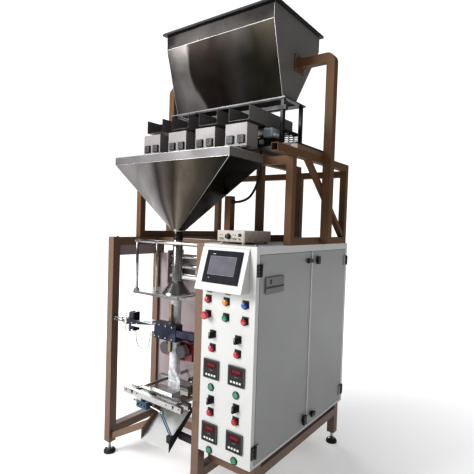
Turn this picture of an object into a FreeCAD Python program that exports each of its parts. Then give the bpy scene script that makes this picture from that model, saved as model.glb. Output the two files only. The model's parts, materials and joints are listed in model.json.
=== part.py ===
"""Vertical form fill sealer with a four-head linear weigher, in millimetres.

x runs along the machine's front, y from the operator's side to the rear and z up from the floor.
The origin is on the floor, under the middle of the forming tube's bay.
"""
import FreeCAD, Part
import math
import os
import re
import Sketcher

doc = FreeCAD.newDocument("form_fill_sealer")
Vector = FreeCAD.Vector
TURN_TO = {
    "x": FreeCAD.Rotation(Vector(0, 1, 0), 90),
    "y": FreeCAD.Rotation(Vector(1, 0, 0), -90),
    "z": FreeCAD.Rotation(),
}

# ---------------------------------------------------------------- sheet and helpers

sheet = doc.addObject("Spreadsheet::Sheet", "dim")
aliases = set()
nodes = []


def size(**values):
    """Adds driving dimensions to the spreadsheet, one row each."""
    for name, value in values.items():
        row = len(aliases) + 1
        sheet.set(f"A{row}", name.replace("_", " "))
        sheet.set(f"B{row}", str(value))
        sheet.setAlias(f"B{row}", name)
        aliases.add(name)
    sheet.recompute()


def formula(text):
    """Puts the sheet's name before each alias in an expression."""
    def with_sheet(word):
        return "dim." + word.group() if word.group() in aliases else word.group()

    return re.sub(r"[a-z_]+[a-z_0-9]*", with_sheet, str(text))


def value(text):
    """The present value of an expression."""
    return float(sheet.evalExpression(formula(text)))


def bind(target, prop, text):
    target.setExpression(prop, formula(text))


def place(target, corner):
    for axis, text in zip("xyz", corner):
        bind(target, "Placement.Base." + axis, text)


def box(low, high):
    """A block between two corners."""
    block = doc.addObject("Part::Box", "block")
    for prop, a, b in zip(("Length", "Width", "Height"), low, high):
        bind(block, prop, f"({b}) - ({a})")
    place(block, low)
    return block


def rod(start, axis, radius, length):
    """A round bar from start along an axis."""
    bar = doc.addObject("Part::Cylinder", "bar")
    bind(bar, "Radius", radius)
    bind(bar, "Height", length)
    bar.Placement = FreeCAD.Placement(Vector(), TURN_TO[axis])
    place(bar, start)
    return bar


def taper(start, axis, radius, end_radius, length):
    """A cone frustum from start along an axis."""
    cone = doc.addObject("Part::Cone", "cone")
    bind(cone, "Radius1", radius)
    bind(cone, "Radius2", end_radius)
    bind(cone, "Height", length)
    cone.Placement = FreeCAD.Placement(Vector(), TURN_TO[axis])
    place(cone, start)
    return cone


def hexagon(start, axis, radius, length):
    """A hexagonal nut or bolt head from start along an axis."""
    prism = doc.addObject("Part::Prism", "hexagon")
    prism.Polygon = 6
    bind(prism, "Circumradius", radius)
    bind(prism, "Height", length)
    prism.Placement = FreeCAD.Placement(Vector(), TURN_TO[axis])
    place(prism, start)
    return prism


def cut(base, tool):
    result = doc.addObject("Part::Cut", "cut")
    result.Base = base
    result.Tool = tool
    return result


def fuse(*pieces):
    result = doc.addObject("Part::MultiFuse", "joined")
    result.Shapes = list(pieces)
    return result


def ring(start, axis, radius, bore, length):
    """A round sleeve from start along an axis."""
    return cut(rod(start, axis, radius, length), rod(start, axis, bore, length))


def tube(low, high, axis, wall="tube_wall"):
    """A square tube between two corners, open at both ends along an axis."""
    inner_low = [a if name == axis else f"({a}) + {wall}" for name, a in zip("xyz", low)]
    inner_high = [b if name == axis else f"({b}) - {wall}" for name, b in zip("xyz", high)]
    return cut(box(low, high), box(inner_low, inner_high))


PLANES = {"xy": "XY_Plane", "xz": "XZ_Plane", "yz": "YZ_Plane"}
PLANE_NORMAL = {"xy": "z", "xz": "y", "yz": "x"}


def new_sketch(plane):
    """A PartDesign body with an empty sketch on one of its own origin planes."""
    body = doc.addObject("PartDesign::Body", "body")
    sketch = body.newObject("Sketcher::SketchObject", "outline")
    base = [f for f in body.Origin.OriginFeatures if f.Role == PLANES[plane]][0]
    sketch.AttachmentSupport = [(base, "")]
    sketch.MapMode = "FlatFace"
    return body, sketch


def draw_outline(sketch, points):
    """A closed polygon whose corners are held at expressions from the sketch's origin."""
    corners = [Vector(value(a), value(b), 0) for a, b in points]
    first = sketch.GeometryCount
    count = len(corners)
    for i, corner in enumerate(corners):
        sketch.addGeometry(Part.LineSegment(corner, corners[(i + 1) % count]))
    for i in range(count):
        sketch.addConstraint(Sketcher.Constraint("Coincident", first + i, 2, first + (i + 1) % count, 1))
    for i, point in enumerate(points):
        for kind, text in zip(("DistanceX", "DistanceY"), point):
            index = sketch.addConstraint(Sketcher.Constraint(kind, -1, 1, first + i, 1, value(text)))
            bind(sketch, f"Constraints[{index}]", text)


def draw_hole(sketch, centre, radius):
    """A circle held at expressions from the sketch's origin."""
    circle = sketch.addGeometry(Part.Circle(Vector(value(centre[0]), value(centre[1]), 0), Vector(0, 0, 1),
                                            value(radius)))
    for kind, text in zip(("DistanceX", "DistanceY"), centre):
        index = sketch.addConstraint(Sketcher.Constraint(kind, -1, 1, circle, 3, value(text)))
        bind(sketch, f"Constraints[{index}]", text)
    index = sketch.addConstraint(Sketcher.Constraint("Radius", circle, value(radius)))
    bind(sketch, f"Constraints[{index}]", radius)


def plate(plane, points, low, high, holes=(), windows=()):
    """A padded outline between two levels on its plane's normal, with round holes and windows."""
    body, sketch = new_sketch(plane)
    draw_outline(sketch, points)
    for centre, radius in holes:
        draw_hole(sketch, centre, radius)
    for window in windows:
        draw_outline(sketch, window)
    pad = body.newObject("PartDesign::Pad", "pad")
    pad.Profile = sketch
    bind(pad, "Length", f"({high}) - ({low})")
    pad.Reversed = plane == "xz"
    bind(body, "Placement.Base." + PLANE_NORMAL[plane], low)
    return body


def turned(points, start, axis="z"):
    """A turned piece: an outline of (radius, height) pairs revolved about an axis through start."""
    body, sketch = new_sketch("xz")
    draw_outline(sketch, points)
    revolution = body.newObject("PartDesign::Revolution", "revolution")
    revolution.Profile = sketch
    revolution.ReferenceAxis = (sketch, ["V_Axis"])
    revolution.Angle = 360
    body.Placement = FreeCAD.Placement(Vector(), TURN_TO[axis])
    place(body, start)
    return body


def panel(corners, thickness):
    """A flat sheet on corner points, thickened to the side its corners turn about by the right-hand rule."""
    points = [Vector(*[value(text) for text in corner]) for corner in corners]
    face = Part.Face(Part.makePolygon(points + points[:1]))
    normal = (points[1] - points[0]).cross(points[2] - points[1]).normalize()
    sheet_piece = doc.addObject("Part::Feature", "sheet_piece")
    sheet_piece.Shape = face.extrude(normal * value(thickness))
    return sheet_piece


def node(label, *pieces):
    """One named sub-part made of one or more separate pieces."""
    group = doc.addObject("Part::Compound", label)
    group.Links = list(pieces)
    group.Label = label
    group.Placement = FreeCAD.Placement()
    nodes.append(group)


def rectangle(left, low, right, high):
    return [(left, low), (right, low), (right, high), (left, high)]


# ---------------------------------------------------------------- main frame

size(tube_side=50, tube_wall=3, frame_left=-485, frame_front=-510, frame_back=566, frame_top=1345,
     middle_post=242, side_post=-140, inner_post=545, cabinet_post_front=-430, cabinet_post_back=514,
     foot_height=72, low_rail=120, cabinet_rail=195, roof_drop=2)


def post(x, y, top="frame_top"):
    return tube((x, y, "foot_height"), (f"{x} + tube_side", f"{y} + tube_side", top), "z")


def rail_x(left, right, y, z):
    return tube((left, y, z), (right, f"{y} + tube_side", f"{z} + tube_side"), "x")


def rail_y(front, back, x, z):
    return tube((x, front, z), (f"{x} + tube_side", back, f"{z} + tube_side"), "y")


POSTS = [
    ("frame_left", "frame_front"),
    ("frame_left", "frame_back - tube_side"),
    ("middle_post", "frame_front"),
    ("middle_post", "frame_back - tube_side"),
    ("inner_post", "cabinet_post_front"),
    ("inner_post", "cabinet_post_back"),
]
frame_pieces = [post(x, y, "frame_top - roof_drop" if x == "inner_post" else "frame_top") for x, y in POSTS]
for x in ("frame_left", "middle_post"):
    frame_pieces.append(tube((x, "side_post", "low_rail + tube_side"),
                             (f"{x} + tube_side", "side_post + tube_side", "frame_top - tube_side"), "z"))
    for z in ("frame_top - tube_side", "low_rail"):
        frame_pieces.append(rail_y("frame_front + tube_side", "frame_back - tube_side", x, z))
for z in ("frame_top - tube_side", "low_rail"):
    frame_pieces.append(rail_x("frame_left + tube_side", "middle_post", "frame_back - tube_side", z))
frame_pieces.append(rail_x("frame_left + tube_side", "middle_post", "side_post", "low_rail"))
frame_pieces.append(rail_x("frame_left + tube_side", "middle_post", "side_post", "frame_top - tube_side"))
for y in ("cabinet_post_front", "cabinet_post_back"):
    frame_pieces.append(rail_x("middle_post + tube_side", "inner_post", y, "cabinet_rail"))
    frame_pieces.append(rail_x("middle_post + tube_side + roof_drop", "inner_post", y,
                               "frame_top - roof_drop - tube_side"))
for z in ("cabinet_rail", "frame_top - roof_drop - tube_side"):
    frame_pieces.append(rail_y("cabinet_post_front + tube_side", "cabinet_post_back", "inner_post", z))
node("main_frame", *frame_pieces)

size(foot_pad=36, foot_pad_edge=30, foot_pad_height=20, foot_hub=16, foot_hub_height=30, foot_stem=8,
     lock_nut=15, lock_nut_height=10, end_plug=6)
foot_pieces = []
for x, y in POSTS:
    centre_x = f"{x} + tube_side / 2"
    centre_y = f"{y} + tube_side / 2"
    foot_pieces.append(turned([(0, 0), ("foot_pad", 0), ("foot_pad", "foot_pad_height / 2"),
                               ("foot_pad_edge", "foot_pad_height"), ("foot_hub", "foot_hub_height"),
                               (0, "foot_hub_height")], (centre_x, centre_y, 0)))
    foot_pieces.append(rod((centre_x, centre_y, "foot_hub_height"), "z", "foot_stem",
                           "foot_height - foot_hub_height"))
    foot_pieces.append(cut(hexagon((centre_x, centre_y, "foot_height - lock_nut_height"), "z", "lock_nut",
                                   "lock_nut_height"),
                           rod((centre_x, centre_y, "foot_height - lock_nut_height"), "z", "foot_stem",
                               "lock_nut_height")))
    foot_pieces.append(box((f"{x} + tube_wall", f"{y} + tube_wall", "foot_height"),
                           (f"{x} + tube_side - tube_wall", f"{y} + tube_side - tube_wall",
                            "foot_height + end_plug")))
node("leveling_feet", *foot_pieces)

# ---------------------------------------------------------------- upper frame

size(bar_side=40, upper_top=1855, left_bar=-480, middle_bar=250, right_bar=575, front_bar=-300, centre_bar=0,
     back_bar=497, right_front_bar=-205, funnel_post_top=1600, rail_nose=-360,
     brace_width=34, brace_foot=490, brace_head=-20, brace_offset=3, inlet=11, inlet_length=12, inlet_y=-280,
     inlet_z=1568)


def upright(x, y, top="upper_top - bar_side"):
    return tube((x, y, "frame_top"), (f"{x} + bar_side", f"{y} + bar_side", top), "z")


def long_rail(front, back, x, z):
    return tube((x, front, z), (f"{x} + bar_side", back, f"{z} + bar_side"), "y")


def cross_rail(left, right, y, z):
    return tube((left, y, z), (right, f"{y} + bar_side", f"{z} + bar_side"), "x")


upper_pieces = [
    upright("left_bar", "front_bar"),
    upright("left_bar", "centre_bar"),
    upright("left_bar", "back_bar"),
    upright("middle_bar", "front_bar", "funnel_post_top"),
    upright("middle_bar", "centre_bar"),
    upright("middle_bar", "back_bar"),
    upright("right_bar", "right_front_bar"),
    upright("right_bar", "back_bar"),
    long_rail("front_bar", "back_bar + bar_side", "left_bar", "upper_top - bar_side"),
    long_rail("right_front_bar + bar_side", "back_bar", "middle_bar", "upper_top - bar_side"),
    long_rail("rail_nose", "back_bar + bar_side", "right_bar", "upper_top - bar_side"),
    cross_rail("left_bar + bar_side", "right_bar", "right_front_bar", "upper_top - 2 * bar_side"),
    cross_rail("left_bar + bar_side", "middle_bar", "back_bar", "upper_top - 2 * bar_side"),
    cross_rail("middle_bar + bar_side", "right_bar", "back_bar", "upper_top - 2 * bar_side"),
    long_rail("right_front_bar + bar_side", "back_bar", "right_bar", "frame_top"),
    long_rail("front_bar + bar_side", "centre_bar", "middle_bar", "frame_top"),
    long_rail("front_bar + bar_side", "centre_bar", "left_bar", "frame_top"),
    long_rail("centre_bar + bar_side", "back_bar", "middle_bar", "frame_top"),
    long_rail("centre_bar + bar_side", "back_bar", "left_bar", "frame_top"),
    plate("yz", [("brace_head", "upper_top - bar_side"),
                 ("brace_head + brace_width", "upper_top - bar_side"),
                 ("brace_foot", "frame_top + bar_side + brace_width"),
                 ("brace_foot", "frame_top + bar_side")],
          "right_bar + brace_offset", "right_bar + bar_side - brace_offset"),
    rod(("middle_bar + bar_side", "inlet_y", "inlet_z"), "x", "inlet", "inlet_length"),
]
node("upper_frame", *upper_pieces)

# ---------------------------------------------------------------- hopper gantry

size(gantry_side=50, gantry_half=665, gantry_front=145, gantry_top=2455, gantry_bottom=1350, elbow=27,
     stub_low=1400, stub_high=1815, ear_front=112, ear_back=228, ear_top=2480, ear_bottom=2380,
     ear_thick=6, hopper_half=420)


def bent_tube(side):
    """One gantry leg: a post that turns inward at the top through a rounded elbow to a short arm."""
    outer = value("gantry_half")
    half = value("gantry_side") / 2
    middle = outer - half
    radius = value("elbow")
    top = value("gantry_top") - half
    y = value("gantry_front") + half
    foot = Vector(side * middle, y, value("gantry_bottom"))
    bend_start = Vector(side * middle, y, top - radius)
    bend_middle = Vector(side * (middle - radius * (1 - math.cos(math.pi / 4))), y,
                         top - radius * (1 - math.sin(math.pi / 4)))
    bend_end = Vector(side * (middle - radius), y, top)
    arm_end = Vector(side * (value("hopper_half") + value("ear_thick")), y, top)
    path = Part.Wire([Part.LineSegment(foot, bend_start).toShape(),
                      Part.Arc(bend_start, bend_middle, bend_end).toShape(),
                      Part.LineSegment(bend_end, arm_end).toShape()])
    shells = []
    for reach in (half, half - value("tube_wall")):
        corners = [foot + Vector(a * reach, b * reach, 0) for a, b in ((-1, -1), (1, -1), (1, 1), (-1, 1))]
        profile = Part.makePolygon(corners + corners[:1])
        shells.append(path.makePipeShell([profile], True, False, 2))
    leg = doc.addObject("Part::Feature", "gantry_leg")
    leg.Shape = shells[0].cut(shells[1])
    return leg


def gantry_stub(z):
    """The short tie between the left gantry post and the upper frame."""
    return tube(("-gantry_half + gantry_side", "gantry_front", z),
                ("left_bar", "gantry_front + gantry_side", f"{z} + bar_side"), "x")


gantry_pieces = [bent_tube(-1), bent_tube(1), gantry_stub("stub_low"), gantry_stub("stub_high")]
for side in (-1, 1):
    near, far = sorted((value("hopper_half") * side, (value("hopper_half") + value("ear_thick")) * side))
    gantry_pieces.append(box((near, "ear_front", "ear_bottom"), (far, "ear_back", "ear_top")))
node("hopper_gantry", *gantry_pieces)

# ---------------------------------------------------------------- hopper

size(hopper_sheet=2, hopper_top=2700, hopper_crease=2595, hopper_bottom=2185, hopper_front=-125,
     hopper_back=430, throat_front=-5, throat_back=140, rim_width=22, rim_depth=14,
     base_half=455, base_front=-38, base_back=215, base_thick=8, bolt_head=7, bolt_head_height=5,
     window_gap=4, bolt_pitch=220, bolt_inset=11)


def hopper_wall(y_top, y_bottom):
    """The front or rear wall: an upright band over a slope."""
    left, right = "-hopper_half", "hopper_half"
    thick = "hopper_sheet"
    band = [(left, y_top, "hopper_crease"), (right, y_top, "hopper_crease"), (right, y_top, "hopper_top"),
            (left, y_top, "hopper_top")]
    slope = [(left, y_bottom, "hopper_bottom"), (right, y_bottom, "hopper_bottom"),
             (right, y_top, "hopper_crease"), (left, y_top, "hopper_crease")]
    if value(y_top) > value(y_bottom):
        band.reverse()
        slope.reverse()
    return [panel(band, thick), panel(slope, thick)]


HOPPER_PROFILE = [("throat_front", "hopper_bottom"), ("throat_back", "hopper_bottom"),
                  ("hopper_back", "hopper_crease"), ("hopper_back", "hopper_top"),
                  ("hopper_front", "hopper_top"), ("hopper_front", "hopper_crease")]
hopper_pieces = hopper_wall("hopper_front", "throat_front") + hopper_wall("hopper_back", "throat_back")
hopper_pieces.append(plate("yz", HOPPER_PROFILE, "-hopper_half", "-hopper_half + hopper_sheet"))
hopper_pieces.append(plate("yz", HOPPER_PROFILE, "hopper_half - hopper_sheet", "hopper_half"))
rim_low, rim_high = "hopper_top - rim_depth", "hopper_top"
hopper_pieces += [
    box(("-hopper_half - rim_width", "hopper_front - rim_width", rim_low),
        ("hopper_half + rim_width", "hopper_front - hopper_sheet", rim_high)),
    box(("-hopper_half - rim_width", "hopper_back + hopper_sheet", rim_low),
        ("hopper_half + rim_width", "hopper_back + rim_width", rim_high)),
    box(("-hopper_half - rim_width", "hopper_front - hopper_sheet", rim_low),
        ("-hopper_half", "hopper_back + hopper_sheet", rim_high)),
    box(("hopper_half", "hopper_front - hopper_sheet", rim_low),
        ("hopper_half + rim_width", "hopper_back + hopper_sheet", rim_high)),
    plate("xy", rectangle("-base_half", "base_front", "base_half", "base_back"),
          "hopper_bottom - base_thick", "hopper_bottom",
          windows=[rectangle("-hopper_half - window_gap", "throat_front - window_gap",
                             "hopper_half + window_gap", "throat_back + window_gap")]),
]
for step in (-2, -1, 0, 1, 2):
    hopper_pieces.append(hexagon((f"{step} * bolt_pitch", "base_front + bolt_inset", "hopper_bottom"), "z",
                                 "bolt_head", "bolt_head_height"))
for step in (-2, 2):
    hopper_pieces.append(hexagon((f"{step} * bolt_pitch", "base_back - bolt_inset", "hopper_bottom"), "z",
                                 "bolt_head", "bolt_head_height"))
node("hopper", *hopper_pieces)

# ---------------------------------------------------------------- vibratory feeders

size(head_pitch=218, deck_left=-515, deck_right=608, deck_front=-165, deck_back=215, deck_low=1880,
     deck_thick=12,
     feeder_base_half=55, feeder_base_front=-120, feeder_base_back=80, feeder_base_top=1952,
     coil_radius=32, coil_height=30, leaf_half=50, leaf_thick=3, pan_half=68, pan_front=-300, pan_back=165,
     pan_low=2004, pan_high=2084, pan_sheet=2, strut_half=506, strut_front=-112, strut_back=-88,
     strut_low=2088, strut_high=2112, terminal_left=400, terminal_right=455, terminal_front=-163,
     terminal_back=-65, terminal_low=1933, terminal_high=1981, strut_post=8, cable_x=377,
     cable_start=-146, gland=11, gland_length=12)
HEADS = [f"{step} * head_pitch" for step in (-1.5, -0.5, 0.5, 1.5)]

feeder_pieces = [
    plate("xy", rectangle("deck_left", "deck_front", "deck_right", "deck_back"), "deck_low",
          "deck_low + deck_thick"),
    *[box((x, "deck_front", "upper_top"), (f"{x} + bar_side", "deck_back", "deck_low"))
      for x in ("left_bar", "middle_bar", "right_bar")],
    rod(("cable_x", "cable_start", "deck_low - gland_length"), "z", "gland", "gland_length"),
    box(("-strut_half", "strut_front", "strut_low"), ("strut_half", "strut_back", "strut_high")),
    box(("terminal_left", "terminal_front", "terminal_low"), ("terminal_right", "terminal_back",
                                                              "terminal_high")),
    box(("terminal_left + 10", "terminal_front + 30", "deck_low + deck_thick"),
        ("terminal_left + 40", "terminal_back - 30", "terminal_low")),
]
for side in (-1, 1):
    x = f"{side} * (strut_half - 30)"
    feeder_pieces.append(box((f"{x} - strut_post", "strut_front + 5", "deck_low + deck_thick"),
                             (f"{x} + strut_post", "strut_back - 5", "strut_low")))
    for y in ("base_front + 10", "base_back - 30"):
        feeder_pieces.append(box((f"{side} * (base_half - 22) - 10", y, "deck_low + deck_thick"),
                                 (f"{side} * (base_half - 22) + 10", f"{y} + 20",
                                  "hopper_bottom - base_thick")))
for x in HEADS:
    feeder_pieces.append(box((f"{x} - feeder_base_half", "feeder_base_front", "deck_low + deck_thick"),
                             (f"{x} + feeder_base_half", "feeder_base_back", "feeder_base_top")))
    feeder_pieces.append(rod((x, "(feeder_base_front + feeder_base_back) / 2", "feeder_base_top"), "z",
                             "coil_radius", "coil_height"))
node("vibrator_bases", *feeder_pieces)

pan_pieces = []
for x in HEADS:
    left, right = f"{x} - pan_half", f"{x} + pan_half"
    pan_pieces += [
        box((left, "pan_front", "pan_low"), (right, "pan_back", "pan_low + pan_sheet")),
        box((left, "pan_front", "pan_low + pan_sheet"), (f"{left} + pan_sheet", "pan_back", "pan_high")),
        box((f"{right} - pan_sheet", "pan_front", "pan_low + pan_sheet"), (right, "pan_back", "pan_high")),
        box((f"{left} + pan_sheet", "pan_back - pan_sheet", "pan_low + pan_sheet"),
            (f"{right} - pan_sheet", "pan_back", "pan_high")),
    ]
    for y in ("feeder_base_front", "feeder_base_back - leaf_thick"):
        pan_pieces.append(box((f"{x} - leaf_half", y, "feeder_base_top + 0.5"),
                              (f"{x} + leaf_half", f"{y} + leaf_thick", "pan_low")))
node("vibrator_pans", *pan_pieces)

# ---------------------------------------------------------------- weigh buckets

size(bucket_half=72.5, bucket_front=-320, bucket_back=-218, bucket_low=1862, bucket_high=1985,
     bucket_sheet=2, pad_half=21, pad_offset=36, pad_low=1878, pad_thick=8, cell_half=20, cell_back=-168,
     cell_low=1895, cell_high=1945, flap_thick=2, flap_gap=2, flap_reach=96, flap_pin=4)
bucket_pieces = []
for x in HEADS:
    left, right = f"{x} - bucket_half", f"{x} + bucket_half"
    bucket_pieces += [
        box((left, "bucket_front", "bucket_low"), (right, "bucket_front + bucket_sheet", "bucket_high")),
        box((left, "bucket_back - bucket_sheet", "bucket_low"), (right, "bucket_back", "bucket_high")),
        box((left, "bucket_front + bucket_sheet", "bucket_low"),
            (f"{left} + bucket_sheet", "bucket_back - bucket_sheet", "bucket_high")),
        box((f"{right} - bucket_sheet", "bucket_front + bucket_sheet", "bucket_low"),
            (right, "bucket_back - bucket_sheet", "bucket_high")),
        box((f"{x} - cell_half", "bucket_back", "cell_low"), (f"{x} + cell_half", "cell_back",
                                                              "cell_high")),
        box((f"{x} - cell_half", "cell_back", "deck_low + deck_thick"),
            (f"{x} + cell_half", "cell_back + 30", "cell_high")),
    ]
    for side in (-1, 1):
        middle = f"{x} + {side} * pad_offset"
        bucket_pieces.append(box((f"{middle} - pad_half", "bucket_front - pad_thick", "pad_low"),
                                 (f"{middle} + pad_half", "bucket_front", "pad_low + 2 * pad_half")))
node("weigh_buckets", *bucket_pieces)

for number, x in enumerate(HEADS, 1):
    flap = box((f"{x} - bucket_half + 1", "bucket_back - flap_reach", "bucket_low - flap_gap - flap_thick"),
               (f"{x} + bucket_half - 1", "bucket_back - 1", "bucket_low - flap_gap"))
    pin = rod((f"{x} - bucket_half + 1", "bucket_back + flap_pin", "bucket_low - flap_gap - flap_pin"), "x",
              "flap_pin", "2 * bucket_half - 2")
    node(f"bucket_flap_{number}", fuse(flap, pin))

# ---------------------------------------------------------------- collection funnel

size(funnel_half=434, funnel_front=-508, funnel_back=-212, funnel_top=1825, funnel_band=1780,
     funnel_sheet=2, spout_half=26, spout_front=-426, spout_back=-374, spout_top=1402, spout_gap=1.5,
     product_tube_x=0, product_tube_y=-400, spout_radius=27, spout_wall=1.5, spout_bottom=1346)
TOP = [("-funnel_half", "funnel_front"), ("funnel_half", "funnel_front"), ("funnel_half", "funnel_back"),
       ("-funnel_half", "funnel_back")]
BOTTOM = [("-spout_half", "spout_front"), ("spout_half", "spout_front"), ("spout_half", "spout_back"),
          ("-spout_half", "spout_back")]
funnel_pieces = []
for i in range(4):
    j = (i + 1) % 4
    funnel_pieces.append(panel([(*BOTTOM[i], "spout_top"), (*BOTTOM[j], "spout_top"),
                                (*TOP[j], "funnel_band"), (*TOP[i], "funnel_band")], "funnel_sheet"))
funnel_pieces += [
    box(("-funnel_half - funnel_sheet", "funnel_front - funnel_sheet", "funnel_band"),
        ("funnel_half + funnel_sheet", "funnel_front", "funnel_top")),
    box(("-funnel_half - funnel_sheet", "funnel_back", "funnel_band"),
        ("funnel_half + funnel_sheet", "funnel_back + funnel_sheet", "funnel_top")),
    box(("-funnel_half - funnel_sheet", "funnel_front", "funnel_band"),
        ("-funnel_half", "funnel_back", "funnel_top")),
    box(("funnel_half", "funnel_front", "funnel_band"),
        ("funnel_half + funnel_sheet", "funnel_back", "funnel_top")),
    ring(("product_tube_x", "product_tube_y", "spout_bottom"), "z", "spout_radius",
         "spout_radius - spout_wall", "spout_top - spout_gap - spout_bottom"),
]
node("collection_funnel", *funnel_pieces)

# ---------------------------------------------------------------- cabinet

size(sheet=2, cabinet_left=292, cabinet_right=615, cabinet_front=-510, cabinet_back=566, cabinet_top=1345,
     cabinet_low=288, door_low=305, door_high=1306, front_edge=-478, seam_front=46.5, seam_back=49.5,
     rear_edge=534, door_depth=15, strip_front=-482, strip_back=538, strip_low=303, strip_high=1308)
cabinet_pieces = [
    box(("cabinet_left", "cabinet_front", "cabinet_top - sheet"),
        ("cabinet_right", "cabinet_back", "cabinet_top")),
    box(("cabinet_left", "cabinet_front + sheet", "cabinet_low"),
        ("cabinet_left + sheet", "cabinet_back - sheet", "cabinet_top - sheet")),
    box(("cabinet_left + sheet", "cabinet_back - sheet", "cabinet_low"),
        ("cabinet_right", "cabinet_back", "cabinet_top - sheet")),
    box(("cabinet_left + sheet", "cabinet_post_front + tube_side", "cabinet_low"),
        ("cabinet_right - sheet", "cabinet_post_back", "cabinet_low + sheet")),
    box(("cabinet_right - sheet", "cabinet_front + sheet", "cabinet_low"),
        ("cabinet_right", "strip_front", "cabinet_top - sheet")),
    box(("cabinet_right - sheet", "strip_back", "cabinet_low"),
        ("cabinet_right", "cabinet_back - sheet", "cabinet_top - sheet")),
    box(("cabinet_right - sheet", "strip_front", "strip_high"), ("cabinet_right", "strip_back",
                                                                 "cabinet_top - sheet")),
    box(("cabinet_right - sheet", "strip_front", "cabinet_low"),
        ("cabinet_right", "strip_back", "strip_low")),
]
node("cabinet_panels", *cabinet_pieces)

size(hinge_out=8, hinge_pin=7, hinge_gap=0.5, hinge_leaf=7, hinge_high_low=1204, hinge_high_top=1262,
     hinge_low_low=342, hinge_low_top=400, front_hinge=-480, rear_hinge=536, leaf_reach=29)
HINGE_LEVELS = [("hinge_high_low", "hinge_high_top"), ("hinge_low_low", "hinge_low_top")]
hinge_pieces = []
for low, high in HINGE_LEVELS:
    hinge_pieces += [
        rod(("cabinet_right + hinge_out", "front_hinge", low), "z", "hinge_pin", f"{high} - {low}"),
        rod(("cabinet_right + hinge_out", "rear_hinge", low), "z", "hinge_pin", f"{high} - {low}"),
        box(("cabinet_right", "front_hinge - leaf_reach", low),
            ("cabinet_right + hinge_leaf", "front_hinge - hinge_pin", high)),
        box(("cabinet_right", "rear_hinge + hinge_pin", low),
            ("cabinet_right + hinge_leaf", "rear_hinge + leaf_reach", high)),
    ]
node("door_hinges", *hinge_pieces)

size(latch_shaft=5, latch_bore=5.05, latch_gap=0.3, latch_disc=15, latch_disc_thick=6, latch_grip=12,
     front_latch=14, rear_latch=118, upper_latch=1255, lower_latch=352, cam_thick=3, cam_half=8,
     cam_length=20)
LATCHES = {"front_door": "front_latch", "rear_door": "rear_latch"}


def door(label, front, back, hinge_side):
    """A folded sheet door with its two hinge leaves."""
    out, skin = "cabinet_right", "cabinet_right - sheet"
    inside = "cabinet_right - door_depth"
    holes = [((LATCHES[label], z), "latch_bore") for z in ("upper_latch", "lower_latch")]
    pieces = [plate("yz", rectangle(front, "door_low", back, "door_high"), skin, out, holes=holes)]
    for low, high in (("door_low", "door_low + sheet"), ("door_high - sheet", "door_high")):
        pieces.append(box((inside, front, low), (skin, back, high)))
    for near, far in ((front, f"{front} + sheet"), (f"{back} - sheet", back)):
        pieces.append(box((inside, near, "door_low + sheet"), (skin, far, "door_high - sheet")))
    for low, high in HINGE_LEVELS:
        if hinge_side == "front":
            near, far = "front_hinge + hinge_pin + hinge_gap", "front_hinge + leaf_reach"
        else:
            near, far = "rear_hinge - leaf_reach", "rear_hinge - hinge_pin - hinge_gap"
        pieces.append(box((out, near, low), (f"{out} + hinge_leaf", far, high)))
    node(label, *pieces)


door("front_door", "front_edge", "seam_front", "front")
door("rear_door", "seam_back", "rear_edge", "rear")


def latch(label, y, z, half_length, half_width):
    """A quarter-turn latch: outside grip, shaft through the door and an inside cam."""
    face = "cabinet_right + latch_gap"
    grip = f"{face} + latch_disc_thick"
    node(label, fuse(
        rod((face, y, z), "x", "latch_disc", "latch_disc_thick"),
        box((grip, f"{y} - {half_length}", f"{z} - {half_width}"),
            (f"{grip} + latch_grip", f"{y} + {half_length}", f"{z} + {half_width}")),
        rod(("cabinet_right - door_depth + 4", y, z), "x", "latch_shaft", "door_depth - 4 + latch_gap"),
        box(("cabinet_right - door_depth + 1", f"{y} - cam_half", f"{z} - cam_half"),
            ("cabinet_right - door_depth + 1 + cam_thick", f"{y} + cam_half", f"{z} + cam_length")),
    ))


latch("front_upper_latch", "front_latch", "upper_latch", 30, 9)
latch("rear_upper_latch", "rear_latch", "upper_latch", 14, 22)
latch("front_lower_latch", "front_latch", "lower_latch", 15, 26)
latch("rear_lower_latch", "rear_latch", "lower_latch", 22, 11)

# ---------------------------------------------------------------- operator panel

size(left_column=365, right_column=521, lamp_left=330, lamp_middle=444, lamp_right=558, phase_row=1066,
     button_row=989, upper_selector=893, upper_heat=825, upper_ready=628, lower_selector=562, lower_heat=500,
     lower_ready=308, upper_controller=720, lower_controller=398, controller_half=48, cutout_half=46,
     controller_front=6, controller_body=75, lamp_hole=11, lens=15, lens_out=20, lamp_body=10.5,
     lamp_body_depth=35, ready_lens=15, ready_out=6, ready_body=7, bezel=18, bezel_bore=14.3, bezel_out=9,
     plunger=14, plunger_out=15, plunger_depth=16, mushroom=20, mushroom_low=20, mushroom_out=36,
     knob_disc=15, knob_base=12, knob_out=28, knob_half=5, selector_shaft=13.5)
FACE, BACK = "cabinet_front", "cabinet_front + sheet"
COLUMNS = ["left_column", "right_column"]
PHASE_LAMPS = [(x, "phase_row") for x in ("lamp_left", "lamp_middle", "lamp_right")]
HEAT_LAMPS = [(x, z) for z in ("upper_heat", "lower_heat") for x in COLUMNS]
READY_LAMPS = [(x, z) for z in ("upper_ready", "lower_ready") for x in COLUMNS]
SELECTORS = [(x, z) for z in ("upper_selector", "lower_selector") for x in COLUMNS]
BUTTONS = [(x, "button_row") for x in ("lamp_left", "lamp_middle", "lamp_right")]
CONTROLLERS = [(x, z) for z in ("upper_controller", "lower_controller") for x in COLUMNS]

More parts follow.
